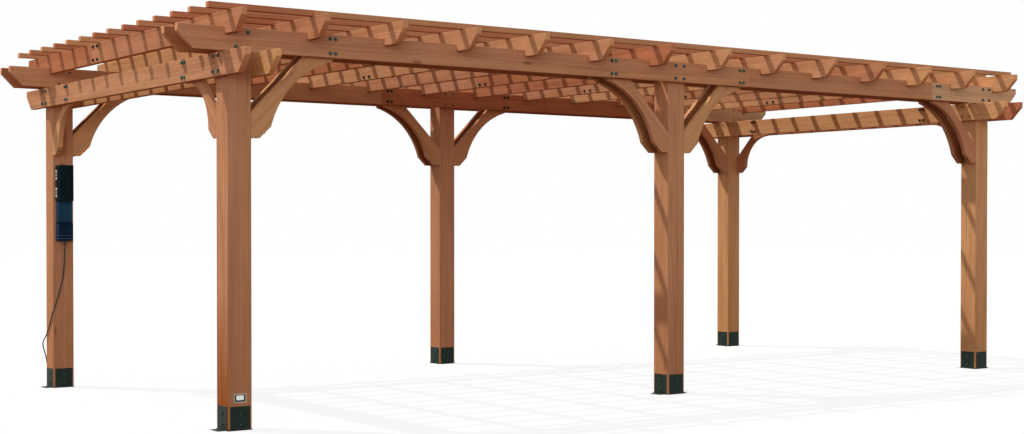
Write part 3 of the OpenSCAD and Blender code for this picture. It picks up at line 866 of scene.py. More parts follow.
def makeBattens():
    # each row is two lengths that meet over the second rafter from one end, by turns
    joint = middleOf(rafterNodes[-2])[0]
    gap = boardSizes["jointGap"] / 2
    row = 0
    for node, low, high, lines in battenLines():
        depth = high[2] - low[2] - battenSizes["screwStand"]
        shells = []
        for y in lines:
            meet = joint * (-1) ** (row + 1)
            shift = battenSizes["shift"] + draws.normal(0, 0.0015)
            for a, b in ((low[0] + shift, meet + gap), (meet - gap, high[0] + shift)):
                outline = [(a, 0), (b, 0), (b, depth), (a, depth)]
                shell = boardShell(outline, battenSizes["width"], (1, 0), boardTone(),
                                   (0, y, low[2]), xAxis, zAxis, battenSizes["ease"])
                shells.append(paintUndersideShade(shell, low[2]))
            row += 1
        makePiece(pieceName(node), shells, wood["battens"], (node,))


def braceOutline(foot, beamBottom, beamDepth, kind):
    # upright board in the plane out from its post: a flat foot, a slanting cut, a hollow
    # curve up to a small step under the beam, the head between the beams and a 45 degree
    # back. The curve is a circle of the given radius through the cut's upper corner.
    s = boardSizes
    flat, cutX, cutZ, radius, lip = s["braceFoot"][kind]
    cornerX, cornerZ = flat + cutX, foot + cutZ
    rise = beamBottom - lip - cornerZ
    curveX = cornerX + math.sqrt(2 * radius * rise - rise * rise)
    centreZ = cornerZ + rise - radius
    shoulder = foot + s["braceContact"]
    slantX = beamBottom + beamDepth / 2 - shoulder
    stepX, headX = slantX + s["braceCurveReach"], slantX + s["braceHeadReach"]
    headTop = beamBottom + beamDepth - s["braceHeadGap"]
    first = math.atan2(cornerZ - centreZ, cornerX - curveX) % (2 * math.pi)
    last = math.acos((stepX - curveX) / radius)
    a = np.linspace(first, last, 26)
    curve = np.stack([curveX + radius * np.cos(a), centreZ + radius * np.sin(a)], -1)
    return np.vstack([[(0, foot), (flat, foot)], curve,
                      [(stepX, beamBottom), (headX, beamBottom), (headX, headTop),
                       (headTop - shoulder, headTop), (0, shoulder)]])


braceNodes = (["end_brace_%s_%s" % (row, place) for row in ("back", "front")
               for place in ("left", "right")]
              + ["long_brace_%s_%s" % (row, place) for row in ("back", "front")
                 for place in ("left", "middle", "right")])


def braceBoards():
    # every brace board: its node, its outline, its number in the node, the middle of its
    # thickness at the post's face, and its way out from the post. A node has braces on the
    # sides where its box goes well past the post.
    least = boardSizes["braceLeast"]
    for node in braceNodes:
        kind = node.split("_")[0]
        low, high = boxOf(node)
        postLow, postHigh = boxOf("post_" + node.split("brace_")[1])
        post = (postLow + postHigh) / 2 * (1, 1, 0)
        half = (postHigh - postLow)[0] / 2
        beamLow, beamHigh = boxOf({"long": "long_beam_front_outer",
                                   "end": "end_beam_left_outer"}[kind])
        outline = braceOutline(low[2], beamLow[2], (beamHigh - beamLow)[2], kind)
        offset = half - boardSizes["braceThickness"] / 2
        if kind == "end":
            out = yAxis * (1 if high[1] > postHigh[1] + least else -1)
            yield node, outline, 0, post + out * half + xAxis * math.copysign(
                offset, post[0]), out
            continue
        outs = [way * xAxis for way, reach in ((1, high[0] - postHigh[0]),
                                               (-1, postLow[0] - low[0])) if reach > least]
        for k, out in enumerate(outs):
            for side in (0, 1):
                place = post + out * half + yAxis * offset * (2 * side - 1)
                yield node, outline, 2 * k + side, place, out


def makeBraces():
    shells = {node: [] for node in braceNodes}
    for node, outline, number, place, out in braceBoards():
        thick = boardSizes["braceThickness"]
        shell = boardShell(outline, thick, (1, 1), boardTone(), place, out, zAxis)
        # painted shade: the faces between the two boards of a long brace are darkened, in place
        # of the shade that falls between them
        if node.startswith("long"):
            inside = 1 - 2 * (number % 2)
            tintFace(shell, 1, inside, place[1] + inside * thick / 2, boardSizes["ease"],
                     shell["tone"] * boardSizes["braceGapPaintedShade"])
        shells[node].append(shell)
    for node, boards in shells.items():
        makePiece(pieceName(node), boards, wood["braces"], (node,))


makePosts()
makeBeams()
makeRafters()
makeBattens()
makeBraces()
print("boards made")


# Bolts and screws

boltSizes = {
    "washer": 0.022, "washerThickness": 0.0024, "flats": 0.016, "head": 0.0070,
    "stub": 0.0060, "stubDiameter": 0.0100, "sink": 0.0005, "chamfer": 0.0006,
    "postColumns": {"long": 0.036, "end": 0.034}, "braceColumns": 0.017,
    "endBraceLine": 0.943, "rows": {"long": (0.025, 0.106), "end": (0.027, 0.110)},
    "rafterColumns": (-0.035, 0.035), "rafterRows": (0.022, 0.107),
    "anchorHeights": (0.032, 0.091),
    "screw": 0.0088, "footScrew": (0.015, 0.010, 0.004), "postNut": (0.013, 0.010, 0.002),
    "anchorBolt": (0.019, 0.013, 0.005),
}


def headShell(place, out, washer, flats, tall, stub=0.0, turn=0.0):
    # a washer and a hexagon head carried round the bolt's line: each ring has twelve points,
    # and a hexagon's radius is half its width over flats, times 1 / cos 30 at its corners.
    # A nut has the end of its bolt standing through it.
    s = boltSizes
    thick, chamfer = s["washerThickness"], s["chamfer"]
    corners = 1 + (1 / math.cos(math.radians(30)) - 1) * (np.arange(12) % 2 == 0)
    even = np.ones(12)
    rows = [(-s["sink"], washer / 2, even), (thick - chamfer, washer / 2, even),
            (thick, washer / 2 - chamfer, even), (thick, flats / 2, corners),
            (thick + tall - chamfer, flats / 2, corners),
            (thick + tall, flats / 2 * 0.94, even)]
    if stub:
        reach = s["stubDiameter"] / 2
        rows += [(thick + tall, reach, even), (thick + tall + stub - chamfer, reach, even),
                 (thick + tall + stub, reach - chamfer, even)]
    a = np.radians(np.arange(12) * 30) + turn
    out = np.asarray(out, float)
    side = np.cross(out, zAxis if abs(out[2]) < 0.9 else xAxis)
    up = np.cross(out, side)
    heights, radii = np.array([row[:2] for row in rows]).T
    reach = radii[:, None] * np.array([row[2] for row in rows])
    rings = (np.asarray(place, float) + heights[:, None, None] * out
             + (reach * np.cos(a))[..., None] * side + (reach * np.sin(a))[..., None] * up)
    shell = loftShell(rings)
    shell["smooth"] = np.repeat(np.arange(len(rows) - 1) < 2, 12)
    return shell


def screwShell(place, radius, stand):
    # a low domed head on a level face: eight points to a ring, the top ring drawn in
    return turnedShell([(-stand, radius), (stand * 0.4, radius), (stand, radius * 0.75)],
                       place, zAxis, 8)


# Structural screws and bolts of galvanised steel with a dark green-black polymer dip,
# baked on: low, slightly uneven gloss
def dippedSteel(name, dark, light):
    material, tree, shader = newMaterial(name, {"Metallic": 0.15, "IOR": 1.5,
                                                "Specular IOR Level": 0.25})
    where = addNode(tree, "TexCoord").outputs["Object"]
    cloud = addNode(tree, "TexNoise", {"Vector": where, "Scale": 45.0, "Detail": 4.0})
    pores = addNode(tree, "TexNoise", {"Vector": where, "Scale": 900.0, "Detail": 2.0})
    tint = addNode(tree, "ValToRGB", {"Fac": cloud}, ramp=[(0.3, dark), (0.7, light)])
    rough = addNode(tree, "MapRange", {0: cloud, 3: 0.38, 4: 0.6})
    bump = addNode(tree, "Bump", {"Height": pores, "Strength": 0.2, "Distance": 0.0002})
    setInputs(tree, shader, {"Base Color": tint, "Roughness": rough, "Normal": bump})
    return material


# Anchors of bent and welded 4 mm steel, powder coated: matt green-black with an orange
# peel about 1.5 mm across, thinner and slightly paler along the plates' edges
def powderCoat():
    material, tree, shader = newMaterial("powderCoatedSteel", {"IOR": 1.5,
                                                               "Specular IOR Level": 0.16})
    where = addNode(tree, "TexCoord").outputs["Object"]
    peel = addNode(tree, "TexNoise", {"Vector": where, "Scale": 650.0, "Detail": 1.0})
    dust = addNode(tree, "TexNoise", {"Vector": where, "Scale": 14.0, "Detail": 5.0,
                                      "Roughness": 0.6})
    tint = addNode(tree, "ValToRGB", {"Fac": dust}, ramp=[(0.3, "#182720"), (0.55, "#222f29"),
                                                          (0.8, "#2f3c35")])
    paleShare = addNode(tree, "Attribute", attribute_name="cut").outputs["Fac"]
    edged = addNode(tree, "MixRGB", {0: paleShare, 1: tint, 2: linearColour("#44584f")})
    rough = addNode(tree, "MapRange", {0: dust, 3: 0.48, 4: 0.68})
    bump = addNode(tree, "Bump", {"Height": peel, "Strength": 0.35, "Distance": 0.0003})
    setInputs(tree, shader, {"Base Color": edged, "Roughness": rough, "Normal": bump})
    return material


def crossed(columns, rows):
    # every pair of a column and a row
    return [(column, row) for column in columns for row in rows]


def makeBeamBolts(steel, dark):
    # heads on the outer faces of each pair of beams, darker nuts on the inner faces; those
    # at the posts are small barrel nuts
    s = boltSizes
    posts, braces, nuts = [], [], []
    for kind, axis in (("long", 0), ("end", 1)):
        for node in (n for n in beamTones if n.startswith(kind + "_beam")):
            low, high = boxOf(node)
            outer = node.endswith("outer")
            side = (1 if high[1 - axis] > 0 else -1) * (1 if outer else -1)
            out = np.eye(3)[1 - axis] * side
            face = (high if side > 0 else low)[1 - axis]
            rowPosts = [post for post in postTones if node.split("_")[2] in post.split("_")]
            centres = [middleOf(post)[axis] for post in rowPosts]
            for centre in centres:
                lines = [math.copysign(s["endBraceLine"], centre)]
                if kind == "long":
                    lines = [centre + way * boardSizes["boltLine"] for way in (-1, 1)]
                groups = [(posts, centre, s["postColumns"][kind])]
                groups += [(braces, line, s["braceColumns"]) for line in lines
                           if abs(line) < max(np.abs(centres))]
                for shells, line, column in groups:
                    for across, row in crossed((-column, column), s["rows"][kind]):
                        place = np.zeros(3)
                        place[axis], place[1 - axis] = line + across, face
                        place[2] = low[2] + row
                        atPost = not outer and shells is posts
                        size = s["postNut"] if atPost else (s["washer"], s["flats"], s["head"])
                        (shells if outer else nuts).append(headShell(
                            place, out, *size, 0 if outer or atPost else s["stub"],
                            draws.uniform(0, 1)))
    makePiece("postBolts", posts, steel)
    makePiece("beamNuts", nuts, dark)
    # and a screw square into the slanting cut at each brace board's foot
    for _, outline, _, place, out in braceBoards():
        middle = (outline[1] + outline[2]) / 2
        slope = (outline[2] - outline[1]) / np.linalg.norm(outline[2] - outline[1])
        spot = place + out * middle[0] + zAxis * middle[1]
        braces.append(headShell(spot, out * slope[1] - zAxis * slope[0], *s["footScrew"], 0,
                                draws.uniform(0, 1)))
    makePiece("braceBolts", braces, steel)


def makeRafterBolts(steel):
    # four bolts through each half-lap: heads on one face, nuts on the other
    s = boltSizes
    shells = []
    for _, low, high, turn, lap in rafterLaps():
        for across, row in crossed(s["rafterColumns"], s["rafterRows"]):
            for side, face in ((-1, low[0]), (1, high[0])):
                stub = s["stub"] if side * turn > 0 else 0
                shells.append(headShell((face, lap + across, low[2] + row), side * xAxis,
                                        s["washer"], s["flats"], s["head"], stub,
                                        draws.uniform(0, 1)))
    makePiece("rafterBolts", shells, steel)


def makeBattenScrews(steel):
    # one screw through each batten into each rafter
    s = battenSizes
    crossings = [middleOf(rafter)[0] for rafter in rafterNodes]
    shells = []
    for _, _, high, lines in battenLines():
        for y, x in crossed(lines, crossings):
            place = (x + draws.normal(0, 0.002), y + draws.normal(0, 0.001),
                     high[2] - s["screwStand"])
            shells.append(screwShell(place, boltSizes["screw"] / 2, s["screwStand"]))
    makePiece("battenScrews", shells, steel)


# Post anchors: a welded shoe of four side plates on a base with two or three feet

anchorSizes = {
    "thickness": 0.004, "ease": 0.0007, "cornerGap": 0.011, "plateLift": 0.001,
    "footWidth": 0.090, "footLap": 0.002, "shortestFoot": 0.01, "hole": 0.012,
    "holeShare": 0.55, "holeSides": 32, "edgeWear": 0.6,
}


def holedPlate(near, far, width, thickness, hole, middle, origin, along):
    # a rectangle from near to far with a round hole at middle: both outlines have a point on
    # each of the same rays from the hole's middle, and the section is carried round them
    sides, ease = anchorSizes["holeSides"], anchorSizes["ease"]
    corners = [math.atan2(y, x - middle) for x in (near, far)
               for y in (-width / 2, width / 2)]
    a = np.sort(np.concatenate([np.linspace(-math.pi, math.pi, sides, endpoint=False),
                                corners]))
    c, s = np.cos(a), np.sin(a)

    def edge(inset):
        # distance along each ray to the rectangle drawn in by the inset
        reachX = np.where(c > 0, far - inset - middle, middle - near - inset)
        return np.minimum(reachX / np.maximum(abs(c), 1e-9),
                          (width / 2 - inset) / np.maximum(abs(s), 1e-9))

    rows = [(edge(ease), 0), (edge(0), ease), (edge(0), thickness - ease),
            (edge(ease), thickness), (hole / 2 + ease + 0 * a, thickness),
            (hole / 2 + 0 * a, thickness - ease), (hole / 2 + 0 * a, ease),
            (hole / 2 + ease + 0 * a, 0)]
    across = np.cross(zAxis, along)
    rings = np.array([origin + (middle + reach * c)[:, None] * along
                      + (reach * s)[:, None] * across + np.array([0, 0, height])
                      for reach, height in rows])
    shell = loftShell(rings, wrap=True)
    # round the section: eased edges and the hole's wall are smooth, and eased edges worn
    shell["smooth"] = np.repeat(np.array([1, 0, 1, 0, 1, 1, 1, 0]) == 1, len(a))
    shell["cut"] = np.repeat(np.array([1, 0, 1, 0, 1, 0, 1, 0]) * anchorSizes["edgeWear"],
                             len(a))
    return shell


def makeAnchors(steel, dipped):
    s, b = anchorSizes, boltSizes
    plain = {"body": np.ones(3), "heart": (0, 0, 0)}
    heads = []
    for post in postTones:
        node = post.replace("post", "anchor")
        low, high = boxOf(node)
        postLow, postHigh = boxOf(post)
        middle = (postLow + postHigh) / 2 * (1, 1, 0)
        half, thick = (postHigh - postLow)[0] / 2, s["thickness"]
        plateHalf = half - s["cornerGap"]
        shells = []
        square = half + thick
        base = [(-square, -square), (square, -square), (square, square), (-square, square)]
        shells.append(boardShell(base, thick, (1, 0), plain, middle + (0, 0, thick / 2),
                                 xAxis, yAxis, s["ease"]))
        for along in (xAxis, yAxis, -xAxis, -yAxis):
            across = np.cross(zAxis, along)
            plate = [(-plateHalf, s["plateLift"]), (plateHalf, s["plateLift"]),
                     (plateHalf, high[2]), (-plateHalf, high[2])]
            shells.append(boardShell(plate, thick, (1, 0), plain,
                                     middle + (half + thick / 2) * along, across, zAxis,
                                     s["ease"]))
            for height in b["anchorHeights"]:
                heads.append(headShell(middle + square * along + (0, 0, height), along,
                                       *b["anchorBolt"], 0, draws.uniform(0, 1)))
            far = float(max((high - middle) @ along, (low - middle) @ along))
            if far > square + s["shortestFoot"]:
                hole = square + (far - square) * s["holeShare"]
                shells.append(holedPlate(square - s["footLap"], far, s["footWidth"], thick,
                                         s["hole"], hole, middle, along))
        makePiece(pieceName(node), shells, steel, (node,))
    makePiece("anchorBolts", heads, dipped)


dipped = dippedSteel("polymerDippedSteel", "#344d44", "#507065")
coated = powderCoat()
makeBeamBolts(dipped, coated)
makeRafterBolts(coated)
makeBattenScrews(dipped)
# the anchor bolts take a darker copy of the dipped steel: painted shade
makeAnchors(coated, dippedSteel("polymerDippedSteelPaintedShade", "#1b362f", "#33584c"))
print("bolts, screws and anchors made")


# Plaque: a blank plate in a raised frame, held by four small screws

plaqueSizes = {
    "corner": 0.006, "frame": 0.0070, "field": 0.0014, "fieldLap": 0.0005,
    "fieldCorner": 0.002, "panel": (0.044, 0.025), "panelCorner": 0.003,
    "panelRise": 0.0010, "panelLift": 0.0025, "ease": 0.0004, "screwRadius": 0.0021,
}


# Aluminium sheet, brushed along its length: fine streaks about 0.4 mm wide
def brushedAluminium(name, dark, light):
    material, tree, shader = newMaterial(name, {"Metallic": 1.0, "Roughness": 0.38})
    where = addNode(tree, "TexCoord").outputs["Object"]
    drawn = addNode(tree, "VectorMath", {0: where, 1: (30.0, 30.0, 2400.0)}, operation="MULTIPLY")
    streaks = addNode(tree, "TexNoise", {"Vector": drawn, "Scale": 1.0, "Detail": 4.0})
    tint = addNode(tree, "ValToRGB", {"Fac": streaks}, ramp=[(0.3, dark), (0.7, light)])
    rough = addNode(tree, "MapRange", {0: streaks, 3: 0.28, 4: 0.48})
    bump = addNode(tree, "Bump", {"Height": streaks, "Strength": 0.25, "Distance": 0.0001})
    setInputs(tree, shader, {"Base Color": tint, "Roughness": rough, "Normal": bump})
    return material


# Enamel fired into the plaque's sunk field: dark green-black, glossy, faintly wavy
def darkEnamel():
    material, tree, shader = newMaterial("firedEnamel", {"Roughness": 0.22, "IOR": 1.52,
                                                         "Specular IOR Level": 0.3})
    where = addNode(tree, "TexCoord").outputs["Object"]
    waves = addNode(tree, "TexNoise", {"Vector": where, "Scale": 160.0, "Detail": 2.0})
    tint = addNode(tree, "ValToRGB", {"Fac": waves}, ramp=[(0.3, "#070e0b"), (0.7, "#0f1913")])
    bump = addNode(tree, "Bump", {"Height": waves, "Strength": 0.15, "Distance": 0.0002})
    setInputs(tree, shader, {"Base Color": tint, "Normal": bump})
    return material


def makePlaque():
    s = plaqueSizes
    low, high = boxOf("plaque")
    size = (high - low)[[0, 2]]
    depth, ease = (high - low)[1], s["ease"]
    origin = np.array([(low[0] + high[0]) / 2, high[1], (low[2] + high[2]) / 2])
    # the frame's section: up the outside, over the front, down to the field and back
    frameSteps = [(0, 0), (0, depth - ease), (ease, depth), (s["frame"] - ease, depth),
                  (s["frame"], depth - ease), (s["frame"], 0)]
    frameShell = stackedShell(size, s["corner"], frameSteps, origin, xAxis, zAxis, 0.0012,
                              wrap=True)
    corner = size / 2 - s["frame"] / 2
    radius = s["screwRadius"]
    domed = [(0, radius), (0.0004, radius), (0.0009, radius * 0.72), (0.0011, radius * 0.24)]
    pins = [turnedShell(domed, origin + np.array([x * corner[0], -depth, z * corner[1]]),
                        -yAxis, 16) for x, z in crossed((-1, 1), (-1, 1))]
    makePiece("plaqueFrame", [frameShell, *pins],
              brushedAluminium("brushedAluminiumTinted", "#92806f", "#b3a08d"),
              ("plaque",))
    field = stackedShell(size - 2 * (s["frame"] - s["fieldLap"]), s["fieldCorner"],
                         easedSteps(s["field"], ease), origin, xAxis, zAxis)
    makePiece("plaqueField", [field], darkEnamel())
    panel = stackedShell(s["panel"], s["panelCorner"], easedSteps(s["panelRise"], ease),
                         origin - s["field"] * yAxis + s["panelLift"] * zAxis, xAxis, zAxis)
    makePiece("plaquePanel", [panel],
              brushedAluminium("brushedAluminiumBright", "#cfd6d3", "#e3e9e6"))


makePlaque()
print("plaque made")


# Power unit: outlet housing, neck and junction box, one above the other on their post

unitSizes = {
    "edge": 0.014, "edgeSteps": 8, "groove": 0.0012, "cover": 0.010,
    "railWidth": 0.0115, "railStand": 0.0022, "railFoot": 0.0055, "railLap": 0.0046,
    "railBack": 0.004, "railEase": 0.9, "railCorner": 0.95, "railFlatten": 0.8,
    "outletGroups": (0.26, 0.73), "outletPitch": 0.024, "outletFace": (0.028, 0.017),
    "outletStand": 0.002, "outletEase": 0.0005, "outletSink": 0.0016,
    "bezel": (0.0360, 0.0725), "bezelStand": 0.0012, "bezelCorner": 0.004,
    "neck": (0.098, 0.042), "neckRise": 0.140, "neckLap": 0.002, "neckEase": 0.0025,
    "neckTurn": 0.001, "ribs": 12, "ribDepth": 0.0006, "boxEase": 0.004,
    "boxGrooves": (0.0165, 0.0370), "grooveWidth": 0.0030, "lip": 0.0008, "lid": 0.0070,
    "lidStep": 0.002, "seam": 0.0035, "screwAside": 0.044, "screwHeights": (0.046, 0.108),
    "screw": ((-0.0004, 0.0030), (0.0006, 0.0030), (0.0014, 0.0022), (0.0017, 0.0008)),
}

# each opening in an outlet face: its middle, and half its size
outletSlots = (((-0.0040, -0.0032), (0.0034, 0.0010)), ((-0.0040, 0.0032), (0.0028, 0.0010)),
               ((0.0068, 0.0), (0.0022, 0.0022)))
chargingPorts = (((-0.0062, 0.0), (0.0036, 0.0016)), ((0.0062, 0.0), (0.0036, 0.0016)))


# Moulded ASA of the outlet housing: near black with a blue-green cast, a fine leather grain
def mouldedHousing():
    material, tree, shader = newMaterial("mouldedHousing", {"IOR": 1.52,
                                                            "Specular IOR Level": 0.07})
    where = addNode(tree, "TexCoord").outputs["Object"]
    grain = addNode(tree, "TexVoronoi", {"Vector": where, "Scale": 700.0})
    haze = addNode(tree, "TexNoise", {"Vector": where, "Scale": 18.0, "Detail": 4.0})
    tint = addNode(tree, "ValToRGB", {"Fac": haze}, ramp=[(0.3, "#03161b"), (0.75, "#07232a")])
    rough = addNode(tree, "MapRange", {0: haze, 3: 0.36, 4: 0.5})
    bump = addNode(tree, "Bump", {"Height": grain.outputs["Distance"], "Strength": 0.2,
                                  "Distance": 0.0002})
    setInputs(tree, shader, {"Base Color": tint, "Roughness": rough, "Normal": bump})
    return material


# Sheet steel of the neck and junction box, sprayed: deep blue, a fine even peel, paler
# along the beads
def sprayedSheet(name, dark, light):
    material, tree, shader = newMaterial(name, {"IOR": 1.5, "Specular IOR Level": 0.07})
    where = addNode(tree, "TexCoord").outputs["Object"]
    peel = addNode(tree, "TexNoise", {"Vector": where, "Scale": 800.0, "Detail": 1.0})
    drawn = addNode(tree, "VectorMath", {0: where, 1: (160.0, 160.0, 5.0)}, operation="MULTIPLY")
    runs = addNode(tree, "TexNoise", {"Vector": drawn, "Scale": 1.0, "Detail": 3.0})
    plain = addNode(tree, "ValToRGB", {"Fac": runs}, ramp=[(0.3, dark), (0.7, light)])
    paleShare = addNode(tree, "Attribute", attribute_name="cut").outputs["Fac"]
    tint = addNode(tree, "MixRGB", {0: paleShare, 1: plain, 2: linearColour("#5d7a92")})
    rough = addNode(tree, "MapRange", {0: runs, 3: 0.4, 4: 0.55})
    bump = addNode(tree, "Bump", {"Height": peel, "Strength": 0.25, "Distance": 0.0002})
    setInputs(tree, shader, {"Base Color": tint, "Roughness": rough, "Normal": bump})
    return material


# Moulded polycarbonate of the outlet faces: smooth and pale, with painted shade on the slot
# floors
def outletPlastic():
    material, tree, shader = newMaterial("mouldedPolycarbonate", {"Roughness": 0.35, "IOR": 1.58})
    where = addNode(tree, "TexCoord").outputs["Object"]
    haze = addNode(tree, "TexNoise", {"Vector": where, "Scale": 120.0, "Detail": 3.0})
    tone = addNode(tree, "Attribute", attribute_name="tone").outputs["Vector"]
    sunk = addNode(tree, "Attribute", attribute_name="cut").outputs["Fac"]
    fleck = addNode(tree, "MapRange", {0: haze, 3: 0.94, 4: 1.0})
    face = addNode(tree, "VectorMath", {0: tone, 3: fleck}, operation="SCALE")
    # painted shade: the sunk slot floors are coloured near black, in place of the shade inside
    # the openings
    tint = addNode(tree, "MixRGB", {0: sunk, 1: face, 2: linearColour("#14181a")})
    bump = addNode(tree, "Bump", {"Height": haze, "Strength": 0.1, "Distance": 0.0002})
    setInputs(tree, shader, {"Base Color": tint, "Normal": bump})
    return material


def frontShell(low, high, steps, radius):
    # a block fixed to a wall behind it: rounded rectangles in front view, each step of
    # them (inset, distance out from the wall)
    middle = (low + high) / 2
    return stackedShell((high - low)[[0, 2]], radius, steps, (middle[0], high[1], middle[2]),
                        xAxis, zAxis, 0.001, 6)


def frontEdge(ease, reach, count, flatten=1.0):
    # (inset, distance out) round the front edge of a block: a quarter circle up to reach
    a = np.radians(np.linspace(0, 90, count + 1))
    return np.stack([ease * (1 - np.cos(a)) * flatten, reach - ease + ease * np.sin(a)],
                    -1).tolist()


def standingShell(low, high, steps, radius, ripple=0.0, ribs=0):
    # a block carried up from low to high: each step is (inset, height); where it has ribs,
    # its front swells in and out by a cosine across the width
    middle = (low + high) / 2
    wide, deep = (high - low)[:2]
    rings = []
    for inset, height in steps:
        flat = roundedOutline(wide - 2 * inset, deep - 2 * inset, max(radius - inset, 0.001))
        # straight sides are cut fine enough to carry the ribs
        front = np.linspace(-1, 1, 8 * max(ribs, 1) + 1)[1:-1, None] * [wide / 2 - radius, 0]
        front = front - [0, deep / 2 - inset]
        fade = 1 - (2 * front[:, 0] / (wide - 2 * radius)) ** 12
        front[:, 1] += ripple * fade * (1 - np.cos(2 * math.pi * ribs * front[:, 0] / wide))
        # the front lies between the third corner and the last, six points each
        turned = np.concatenate([flat[:18], front, flat[18:]]) if ribs else flat
        rings.append(np.concatenate([turned + middle[:2],
                                     np.full((len(turned), 1), low[2] + height)], 1))
    return loftShell(np.array(rings))


def sunkenFace(size, stand, recesses, depth, ease, origin, along, across):
    # a low plate whose front is a height over a grid: full inside the plate, falling at its
    # border, and sunk in each recess (centre, half size). Grid lines run along every edge,
    # and the plate's back is sunk a little in the wall behind it.
    step, sink = 0.00008, 0.0003
    lines = []
    for axis in (0, 1):
        half = size[axis] / 2
        cuts = [-half, -half + ease, half - ease, half]
        for centre, reach in recesses:
            for sign in (-1, 1):
                cuts += [centre[axis] + sign * reach[axis],
                         centre[axis] + sign * (reach[axis] - step)]
        lines.append(np.unique(np.round(cuts, 6)))
    u, v = np.meshgrid(*lines, indexing="ij")
    rise = np.full(u.shape, stand)
    border = (abs(u) > size[0] / 2 - 1e-6) | (abs(v) > size[1] / 2 - 1e-6)
    rise[border] -= ease
    for centre, reach in recesses:
        inside = ((abs(u - centre[0]) < reach[0] - step / 2)
                  & (abs(v - centre[1]) < reach[1] - step / 2))
        rise[inside] = stand - depth
    out = np.cross(along, across)
    points = (np.asarray(origin) + u[..., None] * along + v[..., None] * across
              + rise[..., None] * out)
    count = u.shape
    index = np.arange(u.size).reshape(count)
    quads = np.stack([index[:-1, :-1], index[1:, :-1], index[1:, 1:], index[:-1, 1:]],
                     -1).reshape(-1, 4)
    around = np.concatenate([index[:-1, 0], index[-1, :-1], index[:0:-1, -1],
                             index[0, :0:-1]])
    back = points.reshape(-1, 3)[around]
    back = back - (((back - origin) @ out)[:, None] + sink) * out
    ring = u.size + np.arange(len(around))
    sides = np.stack([np.roll(around, -1), around, ring, np.roll(ring, -1)], -1)
    quads = np.concatenate([quads, sides])
    allPoints = np.concatenate([points.reshape(-1, 3), back])
    mids = rise.ravel()[quads[:len(quads) - len(sides)]].mean(1)
    # the sunk floors are marked, to take painted shade
    cut = np.concatenate([(mids < stand - depth + 1e-6) * 1.0, np.zeros(len(sides))])
    return {"points": allPoints, "quads": quads, "caps": [ring[::-1]],
            "smooth": np.zeros(len(quads), bool), "cut": cut, "place": allPoints,
            "tone": np.ones(3)}


def makeHousing(plastic):
    # its front edges are a quarter circle, and a shallow groove parts its cover, whose hinge
    # rail runs down the right-hand side
    s = unitSizes
    low, high = boxOf("outlet_housing")
    depth = (high - low)[1]
    parting = depth - s["edge"] - s["cover"]
    steps = [(0, 0), (0, parting - s["groove"]), (s["groove"], parting - s["groove"]),
             (s["groove"], parting), (0, parting)]
    steps += frontEdge(s["edge"], depth, s["edgeSteps"])
    housing = frontShell(low, high - s["railLap"] * xAxis, steps, s["edge"])
    railLow = np.array([high[0] - s["railWidth"], low[1] - s["railStand"],
                        low[2] + s["railFoot"]])
    half = s["railWidth"] / 2
    railSteps = [(0, s["railBack"])]
    railSteps += frontEdge(half * s["railEase"], high[1] - railLow[1], 4, s["railFlatten"])
    rail = frontShell(railLow, high, railSteps, half * s["railCorner"])
    makePiece("outletHousing", [housing, rail], plastic, ("outlet_housing",))


def makeOutlets(plastic):
    # three outlet faces in each of two bezels on the outward side; the middle face of each
    # group is a pair of charging sockets, the others have two slots and an earth hole
    s = unitSizes
    low, high = boxOf("outlet_housing")
    bezels, faces = [], []
    for share in s["outletGroups"]:
        spot = np.array([low[0], middleOf("outlet_faces")[1], low[2] + share * (high - low)[2]])
        bezels.append(stackedShell(s["bezel"], s["bezelCorner"],
                                   easedSteps(s["bezelStand"], s["outletEase"]), spot,
                                   -yAxis, zAxis))
        for k in (-1, 0, 1):
            face = sunkenFace(s["outletFace"], s["outletStand"],
                              outletSlots if k else chargingPorts, s["outletSink"],
                              s["outletEase"], spot + k * s["outletPitch"] * zAxis,
                              -yAxis, zAxis)
            face["tone"] = np.array(linearColour("#e8ebe4" if k else "#a9bdb0")[:3])
            faces.append(face)
    makePiece("outletBezels", bezels, plastic)
    makePiece("outletFaces", faces, outletPlastic(), ("outlet_faces",))


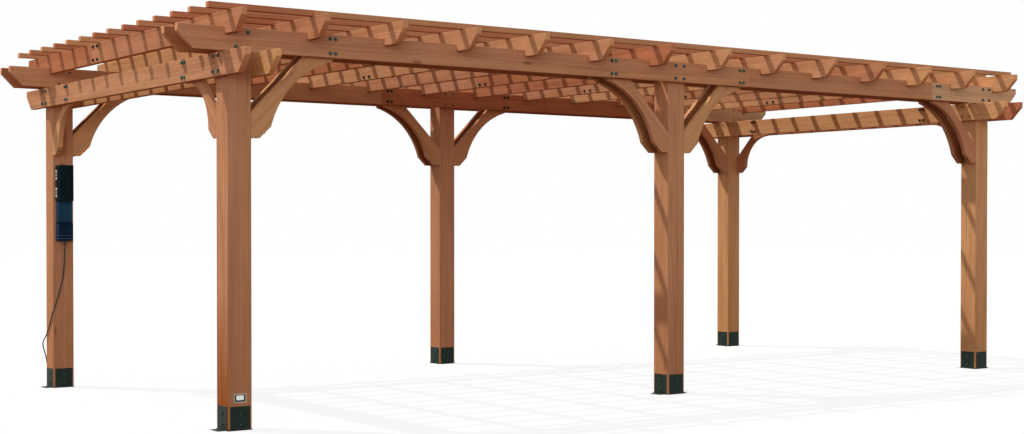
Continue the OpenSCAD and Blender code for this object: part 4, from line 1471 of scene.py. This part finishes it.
def neckBox():
    # the neck hangs under the housing, in its middle and against the post
    s = unitSizes
    low, high = boxOf("outlet_housing")
    middle, (width, depth) = (low[0] + high[0]) / 2, s["neck"]
    return (np.array([middle - width / 2, high[1] - depth, low[2] - s["neckRise"]]),
            np.array([middle + width / 2, high[1], low[2] + s["neckLap"]]))


def makeNeck():
    # sheet metal with low upright ribs, its ends turned in at the seams
    s = unitSizes
    low, high = neckBox()
    rise, turn = high[2] - low[2], s["neckTurn"]
    steps = [(turn, 0), (0, turn), (0, rise - 3 * turn), (turn, rise - 2 * turn), (turn, rise)]
    neck = standingShell(low, high, steps, s["neckEase"], s["ribDepth"], s["ribs"])
    makePiece("unitNeck", [neck], sprayedSheet("sprayedSteelBlue", "#163a58", "#214d69"))


def makeJunctionBox():
    # an eased lid with a dark seam under it, and two low lips near the foot
    s = unitSizes
    low, high = boxOf("junction_box")
    high[2] = neckBox()[0][2]
    tall = high[2] - low[2]
    seam = tall - s["lid"]
    lip, half = s["lip"], s["grooveWidth"] / 2
    steps = [(0.003, 0), (0.001, 0.001), (lip, 0.003)]
    for place in s["boxGrooves"]:
        steps += [(lip, place - half), (0, place - half + 0.0005), (0, place + half - 0.0005),
                  (lip, place + half)]
    steps += [(lip, seam), (lip + s["lidStep"], seam), (lip + s["lidStep"], seam + s["seam"]),
              (0, seam + s["seam"]), (0, tall - 0.002), (0.0006, tall - 0.0006),
              (0.002, tall)]
    box = standingShell(low, high, steps, s["boxEase"])
    # the faces of the two beads are paler
    size = len(box["cut"]) // (len(steps) - 1)
    for row in (4, 8):
        box["cut"][row * size:(row + 1) * size] = 1.0
    middle = middleOf("outlet_housing")[0]
    heads = [turnedShell(s["screw"], (middle + side * s["screwAside"], low[1] + lip,
                                      low[2] + height), -yAxis, 16)
             for side, height in crossed((-1, 1), s["screwHeights"])]
    makePiece("junctionBox", [box, *heads],
              sprayedSheet("sprayedSteelNavy", "#061f33", "#0d2b43"),
              ("junction_box",))


housingPlastic = mouldedHousing()
makeHousing(housingPlastic)
makeOutlets(housingPlastic)
makeNeck()
makeJunctionBox()
print("power unit made")
